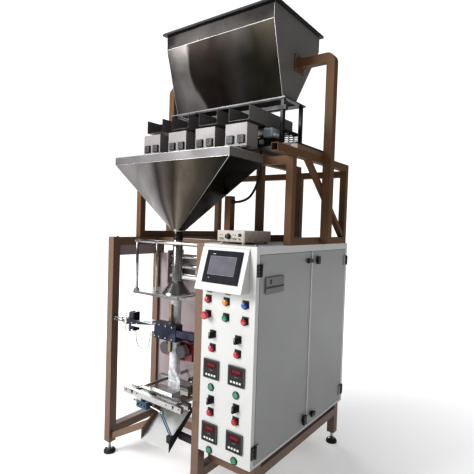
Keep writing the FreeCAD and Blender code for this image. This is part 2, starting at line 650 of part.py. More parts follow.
panel_holes = [(spot, "lamp_hole") for spot in PHASE_LAMPS + HEAT_LAMPS]
panel_holes += [(spot, "bezel_bore") for spot in BUTTONS + SELECTORS]
panel_holes += [(spot, "ready_body") for spot in READY_LAMPS]
panel_windows = [rectangle(f"{x} - cutout_half", f"{z} - cutout_half", f"{x} + cutout_half",
                           f"{z} + cutout_half") for x, z in CONTROLLERS]
panel_pieces = [plate("xz", rectangle("cabinet_left", "cabinet_low", "cabinet_right", "cabinet_top - sheet"),
                      FACE, BACK, holes=panel_holes, windows=panel_windows)]
node("front_panel", *panel_pieces)
node("button_bezels", *[ring((x, f"{FACE} - bezel_out", z), "y", "bezel", "bezel_bore", "bezel_out")
                        for x, z in BUTTONS + SELECTORS])

lamp_pieces = []
for x, z in PHASE_LAMPS + HEAT_LAMPS:
    lamp_pieces.append(rod((x, f"{FACE} - lens_out", z), "y", "lens", "lens_out"))
    lamp_pieces.append(rod((x, FACE, z), "y", "lamp_body", "lamp_body_depth"))
for x, z in READY_LAMPS:
    lamp_pieces.append(rod((x, f"{FACE} - ready_out", z), "y", "ready_lens", "ready_out"))
    lamp_pieces.append(rod((x, FACE, z), "y", "ready_body", "lamp_body_depth"))
node("pilot_lamps", *lamp_pieces)

controller_pieces = []
for x, z in CONTROLLERS:
    controller_pieces.append(box((f"{x} - controller_half", f"{FACE} - controller_front",
                                  f"{z} - controller_half"),
                                 (f"{x} + controller_half", FACE, f"{z} + controller_half")))
    controller_pieces.append(box((f"{x} - cutout_half + 0.5", FACE, f"{z} - cutout_half + 0.5"),
                                 (f"{x} + cutout_half - 0.5", f"{FACE} + controller_body",
                                  f"{z} + cutout_half - 0.5")))
node("temperature_controllers", *controller_pieces)


def plunger(x, z):
    """A button's round shank through the panel."""
    return rod((x, f"{FACE} - plunger_out", z), "y", "plunger", "plunger_out + plunger_depth")


node("emergency_stop", fuse(plunger("lamp_left", "button_row"),
                            taper(("lamp_left", f"{FACE} - mushroom_out", "button_row"), "y", "mushroom - 4",
                                  "mushroom", 5),
                            rod(("lamp_left", f"{FACE} - mushroom_out + 5", "button_row"), "y", "mushroom",
                                "mushroom_out - mushroom_low - 5"),
                            rod(("lamp_left", f"{FACE} - mushroom_low", "button_row"), "y", "plunger",
                                "mushroom_low - plunger_out")))
node("start_button", plunger("lamp_middle", "button_row"))
node("stop_button", plunger("lamp_right", "button_row"))
for number, (x, z) in enumerate(SELECTORS, 1):
    node(f"heater_switch_{number}", fuse(
        rod((x, f"{FACE} - knob_base", z), "y", "selector_shaft", "knob_base + plunger_depth"),
        rod((x, f"{FACE} - knob_base - 4", z), "y", "knob_disc", 4),
        box((f"{x} - knob_half", f"{FACE} - knob_out", f"{z} - knob_disc"),
            (f"{x} + knob_half", f"{FACE} - knob_base - 4", f"{z} + knob_disc")),
    ))

# ---------------------------------------------------------------- touch panel console

size(console_wide=284, console_out=66, console_drop=221, console_sheet=2, console_start=16,
     screen_left=40, screen_down=31,
     bezel_wide=215, bezel_tall=161, bezel_thick=6, glass_left=30, glass_down=31, glass_wide=154,
     glass_tall=88, glass_thick=0.6)


def on_console(across, down, out=0.0):
    """A point on the console's sloping face, from its top left corner."""
    slope = math.hypot(value("console_out"), value("console_drop"))
    along_y, along_z = -value("console_out") / slope, -value("console_drop") / slope
    return (value("cabinet_left") + across,
            value("cabinet_front") + down * along_y + out * along_z,
            value("cabinet_top") + down * along_z - out * along_y)


def slab_on_console(left, top, wide, tall, low, thick):
    """A rectangular slab that lies on the sloping face."""
    corners = [(left, top), (left, top + tall), (left + wide, top + tall), (left + wide, top)]
    return panel([on_console(a, b, low) for a, b in corners], thick)


console_slope = math.hypot(value("console_out"), value("console_drop"))
console_sides = [("cabinet_front", "cabinet_top - 8"), ("cabinet_front", "cabinet_top - console_drop"),
                 ("cabinet_front - console_out + 3", "cabinet_top - console_drop")]
node("touch_console",
     slab_on_console(0, value("console_start"), value("console_wide"), console_slope - value("console_start"),
                     -value("console_sheet"), "console_sheet"),
     plate("yz", console_sides, "cabinet_left", "cabinet_left + console_sheet"),
     plate("yz", console_sides, "cabinet_left + console_wide - console_sheet", "cabinet_left + console_wide"),
     box(("cabinet_left + console_sheet", "cabinet_front - console_out + 5",
          "cabinet_top - console_drop"),
         ("cabinet_left + console_wide - console_sheet", "cabinet_front",
          "cabinet_top - console_drop + console_sheet")))
node("touch_screen",
     slab_on_console(value("screen_left"), value("screen_down"), value("bezel_wide"), value("bezel_tall"), 0,
                     "bezel_thick"),
     slab_on_console(value("screen_left + glass_left"), value("screen_down + glass_down"),
                     value("glass_wide"), value("glass_tall"), value("bezel_thick"), "glass_thick"))

# ---------------------------------------------------------------- inside the cabinet

size(gear_plate=320, gear_plate_thick=3, gear_front=-380, gear_back=440, gear_low=380, gear_high=1260,
     duct_deep=60, duct_tall=40)
# each item: front edge, width along y, lower edge, height, depth
GEAR = {
    "controller": (-340, 130, 1080, 110, 90), "input_module": (-205, 60, 1080, 110, 90),
    "power_supply": (-60, 110, 1080, 125, 95), "relay_row": (120, 220, 1090, 80, 60),
    "drive_one": (-340, 110, 820, 170, 140), "drive_two": (-200, 110, 820, 170, 140),
    "servo_drive": (-60, 70, 820, 180, 150), "breakers": (60, 150, 850, 90, 70),
    "contactor_one": (240, 50, 850, 85, 85), "contactor_two": (300, 50, 850, 85, 85),
    "solid_relays": (-340, 200, 620, 90, 70), "terminals": (-340, 700, 460, 50, 45),
}
plate_face = "gear_plate + gear_plate_thick"
gear_pieces = [box(("gear_plate", "gear_front", "gear_low"), (plate_face, "gear_back", "gear_high"))]
for front, wide, low, tall, deep in GEAR.values():
    gear_pieces.append(box((plate_face, front, low), (f"{plate_face} + {deep}", front + wide, low + tall)))
for low in (560, 740, 1020, 1205):
    gear_pieces.append(box((plate_face, "gear_front + 10", low), (f"{plate_face} + duct_deep",
                                                                  "gear_back - 10", f"{low} + duct_tall")))
for z in ("gear_low + 20", "gear_high - 60"):
    gear_pieces.append(box(("cabinet_left + sheet", "gear_front + 30", z),
                           ("gear_plate", "gear_front + 70", f"{z} + 40")))
    gear_pieces.append(box(("cabinet_left + sheet", "gear_back - 70", z),
                           ("gear_plate", "gear_back - 30", f"{z} + 40")))
node("control_gear", *gear_pieces)

# ---------------------------------------------------------------- weigher's controller box on the roof

size(unit_left=296, unit_right=470, unit_front=-410, unit_back=-165, unit_low=1357, unit_high=1414,
     unit_foot=9, dial_x=368, dial_z=1384, dial_radius=12, dial_length=15, dial_gap=0.4, spindle=3,
     spindle_bore=3.05, spindle_depth=12, toggle_z=1372)
unit_box = cut(box(("unit_left", "unit_front", "unit_low"), ("unit_right", "unit_back", "unit_high")),
               rod(("dial_x", "unit_front", "dial_z"), "y", "spindle_bore", "spindle_depth + 3"))
unit_pieces = [unit_box]
for x in ("unit_left + 18", "unit_right - 18"):
    for y in ("unit_front + 18", "unit_back - 18"):
        unit_pieces.append(rod((x, y, "cabinet_top"), "z", "unit_foot", "unit_low - cabinet_top"))
for x in (316, 330, 400, 414, 440):
    unit_pieces.append(rod((x, "unit_front - 8", "toggle_z"), "y", 4, 8))
node("weigher_controller", *unit_pieces)
node("controller_dial", fuse(
    rod(("dial_x", "unit_front - dial_gap - dial_length", "dial_z"), "y", "dial_radius", "dial_length"),
    rod(("dial_x", "unit_front - dial_gap", "dial_z"), "y", "spindle", "spindle_depth + dial_gap")))

# ---------------------------------------------------------------- mechanism plate and film path

size(backplate_front=-122, backplate_thick=8, backplate_low=330, backplate_high=1240,
     backplate_left=-435, backplate_right=242, valance_low=1230, wing_half=225, wing_thick=8, wing_front=-262,
     wing_low=1060, wing_high=1270,
     roller_y=-238, roller_radius=16, roller_pin=6, roller_pin_bore=6.05, roller_high=1238,
     roller_low=1180, dancer_y=-145, dancer_z=1112, dancer_roller_y=-238, dancer_pin=8,
     dancer_pin_bore=8.05, arm_thick=8, arm_half=11, slot_half=115)
backplate = plate("xz", rectangle("backplate_left", "backplate_low", "backplate_right", "backplate_high"),
                  "backplate_front", "backplate_front + backplate_thick",
                  windows=[rectangle("-slot_half", 1120, "slot_half", 1150),
                           rectangle("-slot_half", 560, "slot_half", 590)])
wings = []
for side in (-1, 1):
    near, far = sorted((side * value("wing_half"), side * (value("wing_half") - value("wing_thick"))))
    wings.append(plate("yz", rectangle("wing_front", "wing_low", "backplate_front", "wing_high"), near, far,
                       holes=[(("roller_y", "roller_high"), "roller_pin_bore"),
                              (("roller_y", "roller_low"), "roller_pin_bore"),
                              (("dancer_y", "dancer_z"), "dancer_pin_bore")]))
valances = [box(("frame_left + 20", "frame_front + tube_side", "valance_low"),
                ("frame_left + 22", "side_post", "frame_top - tube_side"))]
node("mechanism_plate", backplate, *wings, *valances)

for label, z in (("upper_guide_roller", "roller_high"), ("lower_guide_roller", "roller_low")):
    node(label, fuse(
        rod(("-wing_half + wing_thick + 4", "roller_y", z), "x", "roller_radius",
            "2 * (wing_half - wing_thick - 4)"),
        rod(("-wing_half - 6", "roller_y", z), "x", "roller_pin", "2 * (wing_half + 6)")))
arm_x = "wing_half - wing_thick - 3 - arm_thick"
dancer_arms = [box((f"{side} * ({arm_x} + arm_thick / 2) - arm_thick / 2", "dancer_roller_y - arm_half",
                    "dancer_z - arm_half"),
                   (f"{side} * ({arm_x} + arm_thick / 2) + arm_thick / 2", "dancer_y + arm_half",
                    "dancer_z + arm_half")) for side in (-1, 1)]
node("dancer_arm", fuse(
    *dancer_arms,
    rod(("-wing_half - 6", "dancer_y", "dancer_z"), "x", "dancer_pin", "2 * (wing_half + 6)"),
    rod((f"-({arm_x})", "dancer_roller_y", "dancer_z"), "x", "roller_radius - 2", f"2 * ({arm_x})")))

size(reel_y=230, reel_z=520, reel_radius=140, reel_half=104, reel_core=12, reel_core_bore=12.05,
     stand_half=236, stand_side=40, cone_radius=45, cone_length=30, shaft_half=262)
node("film_roll", fuse(
    rod(("-reel_half", "reel_y", "reel_z"), "x", "reel_radius", "2 * reel_half"),
    rod(("-shaft_half", "reel_y", "reel_z"), "x", "reel_core", "2 * shaft_half"),
    taper(("reel_half", "reel_y", "reel_z"), "x", "cone_radius", "reel_core + 4", "cone_length"),
    taper(("-reel_half - cone_length", "reel_y", "reel_z"), "x", "reel_core + 4", "cone_radius",
          "cone_length")))
stand_pieces = [tube(("frame_left + tube_side", "reel_y - tube_side / 2", "low_rail"),
                     ("middle_post", "reel_y + tube_side / 2", "low_rail + tube_side"), "x")]
for side in (-1, 1):
    x = f"{side} * stand_half"
    stand_pieces.append(tube((f"{x} - stand_side / 2", "reel_y - stand_side / 2", "low_rail + tube_side"),
                             (f"{x} + stand_side / 2", "reel_y + stand_side / 2", "reel_z - 25"), "z"))
    stand_pieces.append(cut(
        box((f"{x} - stand_side / 2", "reel_y - 25", "reel_z - 25"),
            (f"{x} + stand_side / 2", "reel_y + 25", "reel_z + 25")),
        rod((f"{x} - stand_side / 2", "reel_y", "reel_z"), "x", "reel_core_bore", "stand_side")))
node("reel_stand", *stand_pieces)

# ---------------------------------------------------------------- forming set

size(tube_radius=28, tube_bore=26.5, tube_bottom=640, collar_foot=1042, collar_height=70, collar_wide=82,
     collar_neck=35, collar_bore=31, tray_left=-250, tray_right=110, tray_front=-505, tray_back=-300,
     tray_low=1036, skirt_low=1028, arm_front=-500, arm_back=-474, hanger_y=-484, hanger_z=1333,
     hanger_radius=9, hanger_left=-245, thin_hanger=-80, thin_hanger_radius=5, film_radius=29.2,
     film_skin=0.4, film_top=1010, film_round=615, film_flat=530, film_end=490, film_half=46,
     film_half_thick=1)
axis_x, axis_y = "product_tube_x", "product_tube_y"
node("forming_tube", ring((axis_x, axis_y, "tube_bottom"), "z", "tube_radius", "tube_bore",
                          "spout_bottom - tube_bottom"))
node("forming_collar",
     cut(taper((axis_x, axis_y, "collar_foot"), "z", "collar_wide", "collar_neck", "collar_height"),
         rod((axis_x, axis_y, "collar_foot"), "z", "collar_bore", "collar_height")),
     plate("xy", rectangle("tray_left", "tray_front", "tray_right", "tray_back"), "tray_low", "collar_foot",
           holes=[((axis_x, axis_y), "collar_bore")]),
     box(("tray_left", "tray_front", "skirt_low"), ("tray_right", "tray_front + 3", "tray_low")),
     box(("tray_right", "arm_front", "collar_foot - 10"), ("middle_post", "arm_back", "collar_foot")))
node("collar_hangers",
     rod(("hanger_left - 8", "hanger_y", "hanger_z"), "x", "hanger_radius", "middle_post - hanger_left + 8"),
     rod(("hanger_left", "hanger_y", "collar_foot"), "z", "hanger_radius - 1",
         "hanger_z - hanger_radius - collar_foot"),
     rod(("thin_hanger", "hanger_y", "collar_foot"), "z", "thin_hanger_radius",
         "hanger_z - hanger_radius - collar_foot"))


def film_shape():
    """The film: a sleeve on the forming tube that closes to a flat web above the jaws."""
    centre = Vector(value(axis_x), value(axis_y), 0)
    radius, half, thin = value("film_radius"), value("film_half"), value("film_half_thick")

    def oval(z, across, along):
        """A closed oval outline in a level plane."""
        curve = Part.Ellipse(centre + Vector(0, 0, z), across, along)
        return Part.Wire(curve.toShape())

    low, flat = value("film_round"), value("film_flat")
    narrowing = Part.makeLoft([oval(low, radius + 0.1, radius), oval((low + flat) / 2, 38, 14),
                               oval(flat, half, thin)], True)
    web = Part.Face(oval(flat, half, thin)).extrude(Vector(0, 0, value("film_end") - flat))
    film = doc.addObject("Part::Feature", "film_bag")
    film.Shape = Part.makeCompound([narrowing, web])
    return film


node("film_tube",
     ring((axis_x, axis_y, "tube_bottom"), "z", "film_radius", "film_radius - film_skin",
          "film_top - tube_bottom"),
     film_shape())

# ---------------------------------------------------------------- vertical sealer

size(seal_beam_low=832, seal_beam_high=868, seal_beam_front=-506, seal_beam_back=-484, seal_left=-320,
     block_left=-60, block_right=105, block_front=-508, block_back=-455, block_low=800, block_high=890,
     cheek_low=795, cheek_high=905, cheek_thick=14, cheek_front=-509, cheek_back=-440, stud_reach=112,
     stud_radius=5, seal_bar_half=9, seal_bar_low=715, seal_bar_high=985, seal_bar_front=-447,
     seal_bar_back=-435, push_rod=6, push_bore=6.05, push_length=38, valve_left=-172, valve_right=-104,
     valve_front=-484, valve_back=-448, valve_low=812, valve_high=878)
seal_block = cut(box(("block_left", "block_front", "block_low"), ("block_right", "block_back", "block_high")),
                 fuse(*[rod((axis_x, "block_back - push_length - 2", z), "y", "push_bore", "push_length + 2")
                        for z in (826, 864)]))
seal_pieces = [
    seal_block,
    box(("seal_left", "seal_beam_front", "seal_beam_low"),
        ("block_left", "seal_beam_back", "seal_beam_high")),
    box(("block_right", "seal_beam_front", "seal_beam_low"), ("middle_post", "seal_beam_back",
                                                              "seal_beam_high")),
    box(("valve_left", "valve_front", "valve_low"), ("valve_right", "valve_back", "valve_high")),
]
for x in (-275, -315):
    for near, far in (("cheek_front", "seal_beam_front"), ("seal_beam_back", "cheek_back")):
        seal_pieces.append(box((x, near, "cheek_low"), (f"{x} + cheek_thick", far, "cheek_high")))
for y, z in (("seal_beam_front + 8", "seal_beam_high - 8"), ("seal_beam_back - 6", "seal_beam_low + 8")):
    seal_pieces.append(rod(("seal_left - stud_reach", y, z), "x", "stud_radius", "stud_reach"))
    seal_pieces.append(cut(hexagon(("seal_left - 30", y, z), "x", "2 * stud_radius", 9),
                           rod(("seal_left - 30", y, z), "x", "stud_radius", 9)))
node("vertical_seal_unit", *seal_pieces)
node("vertical_seal_bar", fuse(
    box(("-seal_bar_half", "seal_bar_front", "seal_bar_low"), ("seal_bar_half", "seal_bar_back",
                                                               "seal_bar_high")),
    *[rod((axis_x, "seal_bar_front - push_length", z), "y", "push_rod", "push_length") for z in (826, 864)]))

# ---------------------------------------------------------------- film pull rollers

size(pull_radius=34, pull_gap=0.6, pull_front=-425, pull_back=-378, pull_z=722, pull_axle=8,
     pull_axle_bore=8.05, motor_radius=50, motor_front=-340, motor_back=-190, gearbox_front=-372,
     gearbox_half=42, shelf_low=652, shelf_high=662, shelf_half=128, shelf_front=-366, groove=3,
     axle_back=-352)
pull_x = "film_radius + pull_gap + pull_radius"
for label, side in (("left_pull_roller", -1), ("right_pull_roller", 1)):
    outline = [(0, 0), ("pull_radius", 0), ("pull_radius", 18), ("pull_radius - groove", 20),
               ("pull_radius - groove", 27), ("pull_radius", 29), ("pull_radius", "pull_back - pull_front"),
               ("pull_axle", "pull_back - pull_front"), ("pull_axle", "axle_back - pull_front"),
               (0, "axle_back - pull_front")]
    node(label, turned(outline, (f"{side} * ({pull_x})", "pull_front", "pull_z"), "y"))
motor_pieces = [box(("-shelf_half", "shelf_front", "shelf_low"), ("shelf_half", "backplate_front",
                                                                 "shelf_high"))]
for side in (-1, 1):
    x = f"{side} * ({pull_x})"
    motor_pieces.append(cut(
        box((f"{x} - gearbox_half", "gearbox_front", "shelf_high"),
            (f"{x} + gearbox_half", "motor_front", "pull_z + gearbox_half")),
        rod((x, "gearbox_front", "pull_z"), "y", "pull_axle_bore", "axle_back - gearbox_front + 2")))
    motor_pieces.append(rod((x, "motor_front", "pull_z"), "y", "motor_radius", "motor_back - motor_front"))
node("pull_motors", *motor_pieces)

# ---------------------------------------------------------------- end sealing jaws

size(jaw_z=485, guide_x=160, guide_radius=10, guide_bore=10.05, bridge_front=-577, bridge_back=-556,
     jaw_half=225, jaw_beam=15, front_beam_front=-522, front_beam_back=-495, front_face=-430,
     rear_face=-370, rear_beam_front=-305, rear_beam_back=-278, heater_half=80, heater_high=26,
     bearing=17, knife_half=70, knife_slot=72, knife_thick=1, knife_slot_thick=1.8, knife_tip=-438,
     knife_back=-492, cylinder_radius=31, cylinder_front=-252, cylinder_rod=8, cylinder_bore=8.05,
     rod_tail=-165, unit_half=40, unit_start=44, unit_low_z=414, unit_high_z=452)


def jaw_half_set(beam_front, beam_back, block_front, block_back, slot_front, slot_back):
    """A beam on two guide bushes with a heated block, slotted for the knife."""
    low, high = "jaw_z - jaw_beam", "jaw_z + jaw_beam"
    pieces = [box(("-jaw_half", beam_front, low), ("jaw_half", beam_back, high)),
              box(("-heater_half", block_front, "jaw_z - heater_high"),
                  ("heater_half", block_back, "jaw_z + heater_high"))]
    bores = [box(("-knife_slot", slot_front, "jaw_z - knife_slot_thick"),
                 ("knife_slot", slot_back, "jaw_z + knife_slot_thick"))]
    for side in (-1, 1):
        x = f"{side} * guide_x"
        pieces.append(rod((x, beam_front, "jaw_z"), "y", "bearing", f"({beam_back}) - ({beam_front})"))
        bores.append(rod((x, f"{beam_front} - 1", "jaw_z"), "y", "guide_bore",
                         f"({beam_back}) - ({beam_front}) + 2"))
    return pieces, bores


front_pieces, front_bores = jaw_half_set("front_beam_front", "front_beam_back", "front_beam_back",
                                         "front_face", "front_beam_back + 1", "front_face")
node("front_jaw", cut(fuse(*front_pieces), fuse(*front_bores)))
rear_pieces, rear_bores = jaw_half_set("rear_beam_front", "rear_beam_back", "rear_face", "rear_beam_front",
                                       "rear_face", "rear_face + 14")
rear_pieces.append(rod((axis_x, "rear_beam_back", "jaw_z"), "y", "cylinder_rod", "rod_tail - rear_beam_back"))
node("rear_jaw", cut(fuse(*rear_pieces), fuse(*rear_bores)))
node("cutter_knife", box(("-knife_half", "knife_back", "jaw_z - knife_thick"),
                         ("knife_half", "knife_tip", "jaw_z + knife_thick")))
guide_pieces = [
    box(("-jaw_half", "bridge_front", "jaw_z - jaw_beam"), ("jaw_half", "bridge_back", "jaw_z + jaw_beam")),
    cut(rod((axis_x, "cylinder_front", "jaw_z"), "y", "cylinder_radius", "backplate_front - cylinder_front"),
        rod((axis_x, "cylinder_front", "jaw_z"), "y", "cylinder_bore", "rod_tail - cylinder_front + 8")),
    box(("-guide_x + unit_start", "bridge_front + 2", "unit_low_z"),
        ("-guide_x + unit_start + 2 * unit_half", "front_beam_front - 6", "unit_high_z")),
    box(("-guide_x + 40", "bridge_front + 4", "unit_high_z"), ("-guide_x + 80", "bridge_back - 4",
                                                               "jaw_z - jaw_beam")),
]
for side in (-1, 1):
    guide_pieces.append(rod((f"{side} * guide_x", "bridge_back", "jaw_z"), "y", "guide_radius",
                            "backplate_front - bridge_back"))
node("jaw_guides", *guide_pieces)

# ---------------------------------------------------------------- discharge chute

size(chute_left=-78, chute_right=136, chute_back=-392, chute_high=392, chute_front=-566, chute_lip=236,
     chute_sheet=2, chute_wall=58, chute_rear_wall=3, stay_low=246, stay_high=276, stay_front=-500,
     stay_back=-474, sloped_stay_foot=88, sloped_stay_tall=42)
floor_corners = [("chute_left", "chute_front", "chute_lip"), ("chute_right", "chute_front", "chute_lip"),
                 ("chute_right", "chute_back", "chute_high"), ("chute_left", "chute_back", "chute_high")]
wall_outline = [("chute_front", "chute_lip"), ("chute_back", "chute_high"),
                ("chute_back", "chute_high + chute_wall / 2"), ("chute_front", "chute_lip + chute_wall")]
node("discharge_chute",
     panel(floor_corners, "chute_sheet"),
     plate("yz", wall_outline, "chute_left - chute_rear_wall", "chute_left"),
     plate("yz", wall_outline, "chute_right", "chute_right + chute_rear_wall"),
     box(("chute_right + chute_rear_wall", "stay_front", "stay_low + 40"),
         ("middle_post", "stay_back", "stay_high + 40")),
     plate("xz", [("frame_left + tube_side", "sloped_stay_foot"),
                  ("chute_left - chute_rear_wall", "stay_low + 40"),
                  ("chute_left - chute_rear_wall", "stay_low + 40 + sloped_stay_tall"),
                  ("frame_left + tube_side", "sloped_stay_foot + sloped_stay_tall")],
           "stay_front + 5", "stay_back - 5"))

# ---------------------------------------------------------------- cables and hoses


def arc_tube(points, diameter):
    """A round flexible line: straight runs joined by tangent arcs as large as their runs allow."""
    corners = [Vector(*p) for p in points]
    radii = []
    edges = []
    start = corners[0]
    for before, corner, after in zip(corners, corners[1:], corners[2:]):
        to_before = (before - corner)
        to_after = (after - corner)
        turn = math.pi - to_before.getAngle(to_after)
        reach = 0.45 * min(to_before.Length, to_after.Length)
        radius = reach / math.tan(turn / 2)
        radii.append(round(radius, 1))
        to_before.normalize()
        to_after.normalize()
        bisector = (to_before + to_after).normalize()
        centre = corner + bisector * math.hypot(radius, reach)
        near, far = corner + to_before * reach, corner + to_after * reach
        edges.append(Part.LineSegment(start, near).toShape())
        edges.append(Part.Arc(near, centre - bisector * radius, far).toShape())
        start = far
    edges.append(Part.LineSegment(start, corners[-1]).toShape())
    path = Part.Wire(edges)
    first_run = (corners[1] - corners[0]).normalize()
    profile = Part.Wire(Part.Circle(corners[0], first_run, diameter / 2).toShape())
    line = doc.addObject("Part::Feature", "line")
    line.Shape = path.makePipeShell([profile], True, False, 0)
    expected = math.pi * diameter ** 2 / 4 * path.Length
    print(f"line {diameter} mm: length {path.Length:.0f}, volume ratio "
          f"{line.Shape.Volume / expected:.4f}, radii {radii}")
    return line


size(feeder_cable_diameter=13, air_hose_diameter=8)
FEEDER_CABLE = [(377, -146, 1868), (377, -146, 1812), (377, -150, 1756), (377, -164, 1702), (377, -190, 1652),
                (377, -228, 1608), (367, -252, 1586), (349, -270, 1574), (325, -280, 1568), (302, -280, 1568)]
AIR_HOSE = [(-140, -466, 812), (-140, -466, 770), (-152, -464, 728), (-180, -461, 696), (-222, -460, 690),
            (-256, -461, 714), (-268, -462, 753), (-268, -462, 795)]
node("feeder_cable", arc_tube(FEEDER_CABLE, value("feeder_cable_diameter")))
node("air_hose", arc_tube(AIR_HOSE, value("air_hose_diameter")))

# ---------------------------------------------------------------- finish

doc.recompute()
for item in doc.Objects:
    if "Invalid" in item.State or "Error" in item.State:
        raise RuntimeError(f"{item.Name} ({item.Label}) did not build: {item.State}")
os.makedirs("parts", exist_ok=True)
for item in nodes:
    if item.Shape.isNull() or not item.Shape.isValid():
        raise RuntimeError(f"{item.Label} has no valid shape")
    item.Shape.exportStep(f"parts/{item.Label}.step")
print(len(nodes), "sub-parts,", sum(len(item.Shape.Solids) for item in nodes), "solids")
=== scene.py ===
"""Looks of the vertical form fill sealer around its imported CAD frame, in metres."""
import json
import math
import random
from itertools import product

import bmesh
import bpy
from mathutils import Matrix, Quaternion, Vector


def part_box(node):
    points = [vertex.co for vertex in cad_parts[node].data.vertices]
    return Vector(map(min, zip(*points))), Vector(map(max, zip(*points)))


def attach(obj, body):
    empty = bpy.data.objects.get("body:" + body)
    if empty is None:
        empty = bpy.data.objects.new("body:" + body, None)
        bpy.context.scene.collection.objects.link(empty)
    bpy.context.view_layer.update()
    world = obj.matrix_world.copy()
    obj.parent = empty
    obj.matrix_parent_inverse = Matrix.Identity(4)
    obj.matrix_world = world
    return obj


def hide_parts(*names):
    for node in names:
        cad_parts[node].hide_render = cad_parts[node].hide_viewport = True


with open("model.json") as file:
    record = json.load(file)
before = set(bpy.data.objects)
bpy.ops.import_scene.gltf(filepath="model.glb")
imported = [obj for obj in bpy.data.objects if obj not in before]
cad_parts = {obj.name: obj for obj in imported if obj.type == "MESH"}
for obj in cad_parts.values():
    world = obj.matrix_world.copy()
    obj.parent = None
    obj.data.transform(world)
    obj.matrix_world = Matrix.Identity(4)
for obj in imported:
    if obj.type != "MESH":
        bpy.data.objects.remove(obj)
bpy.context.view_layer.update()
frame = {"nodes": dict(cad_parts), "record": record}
chance = random.Random(7)
X, Y, Z = Vector((1, 0, 0)), Vector((0, 1, 0)), Vector((0, 0, 1))

# ---- camera, light and world

CAMERA_AT = Vector((1.693, -2.130, 1.450))
CAMERA_AZIMUTH, CAMERA_PITCH, CAMERA_ROLL = (math.radians(angle) for angle in (36.45, -1.80, 1.86))
LENS, SENSOR = 32.07, 36.0
EXPOSURE, GAMMA = 0.2, 0.84
BACKDROP, ROOM = (1, 1, 1), (0.2, 0.2, 0.205)


def make_camera():
    """The viewer's place in front of the machine's right corner."""
    level = math.cos(CAMERA_PITCH)
    ahead = Vector((-math.sin(CAMERA_AZIMUTH) * level, math.cos(CAMERA_AZIMUTH) * level,
                    math.sin(CAMERA_PITCH)))
    turn = ahead.to_track_quat("-Z", "Y") @ Quaternion(Z, CAMERA_ROLL)
    data = bpy.data.cameras.new("camera")
    data.lens, data.sensor_width = LENS, SENSOR
    camera = bpy.data.objects.new("camera", data)
    camera.matrix_world = Matrix.LocRotScale(CAMERA_AT, turn, None)
    bpy.context.scene.collection.objects.link(camera)
    bpy.context.scene.camera = camera


def area_light(name, place, target, size, power):
    """A soft square light that faces a target."""
    data = bpy.data.lights.new(name, "AREA")
    data.shape, data.size, data.size_y = "RECTANGLE", size, size
    data.energy = power
    light = bpy.data.objects.new(name, data)
    light.location = place
    light.rotation_mode = "QUATERNION"
    light.rotation_quaternion = (Vector(target) - Vector(place)).to_track_quat("-Z", "Y")
    bpy.context.scene.collection.objects.link(light)


def make_world():
    """A white backdrop that lights the object as a dimmer room would."""
    world = bpy.data.worlds.new("studio")
    world.use_nodes = True
    tree = world.node_tree
    tree.nodes.clear()
    path = tree.nodes.new("ShaderNodeLightPath")
    room, backdrop = tree.nodes.new("ShaderNodeBackground"), tree.nodes.new("ShaderNodeBackground")
    room.inputs["Color"].default_value = (*ROOM, 1)
    backdrop.inputs["Color"].default_value = (*BACKDROP, 1)
    both, output = tree.nodes.new("ShaderNodeMixShader"), tree.nodes.new("ShaderNodeOutputWorld")
    tree.links.new(path.outputs["Is Camera Ray"], both.inputs[0])
    tree.links.new(room.outputs[0], both.inputs[1])
    tree.links.new(backdrop.outputs[0], both.inputs[2])
    tree.links.new(both.outputs[0], output.inputs[0])
    bpy.context.scene.world = world


def set_view():
    view = bpy.context.scene.view_settings
    view.view_transform = "Standard"
    view.exposure = EXPOSURE
    view.gamma = GAMMA


make_camera()
set_view()
make_world()
area_light("key", (-2.6, -4.6, 3.4), (0.1, 0, 1.1), 2.6, 325)
area_light("top", (0.2, -0.6, 5.6), (0, 0, 1), 3.2, 25)
area_light("rear", (-3.4, 3.0, 3.0), (0, 0, 1.4), 2.5, 60)

# ---- materials


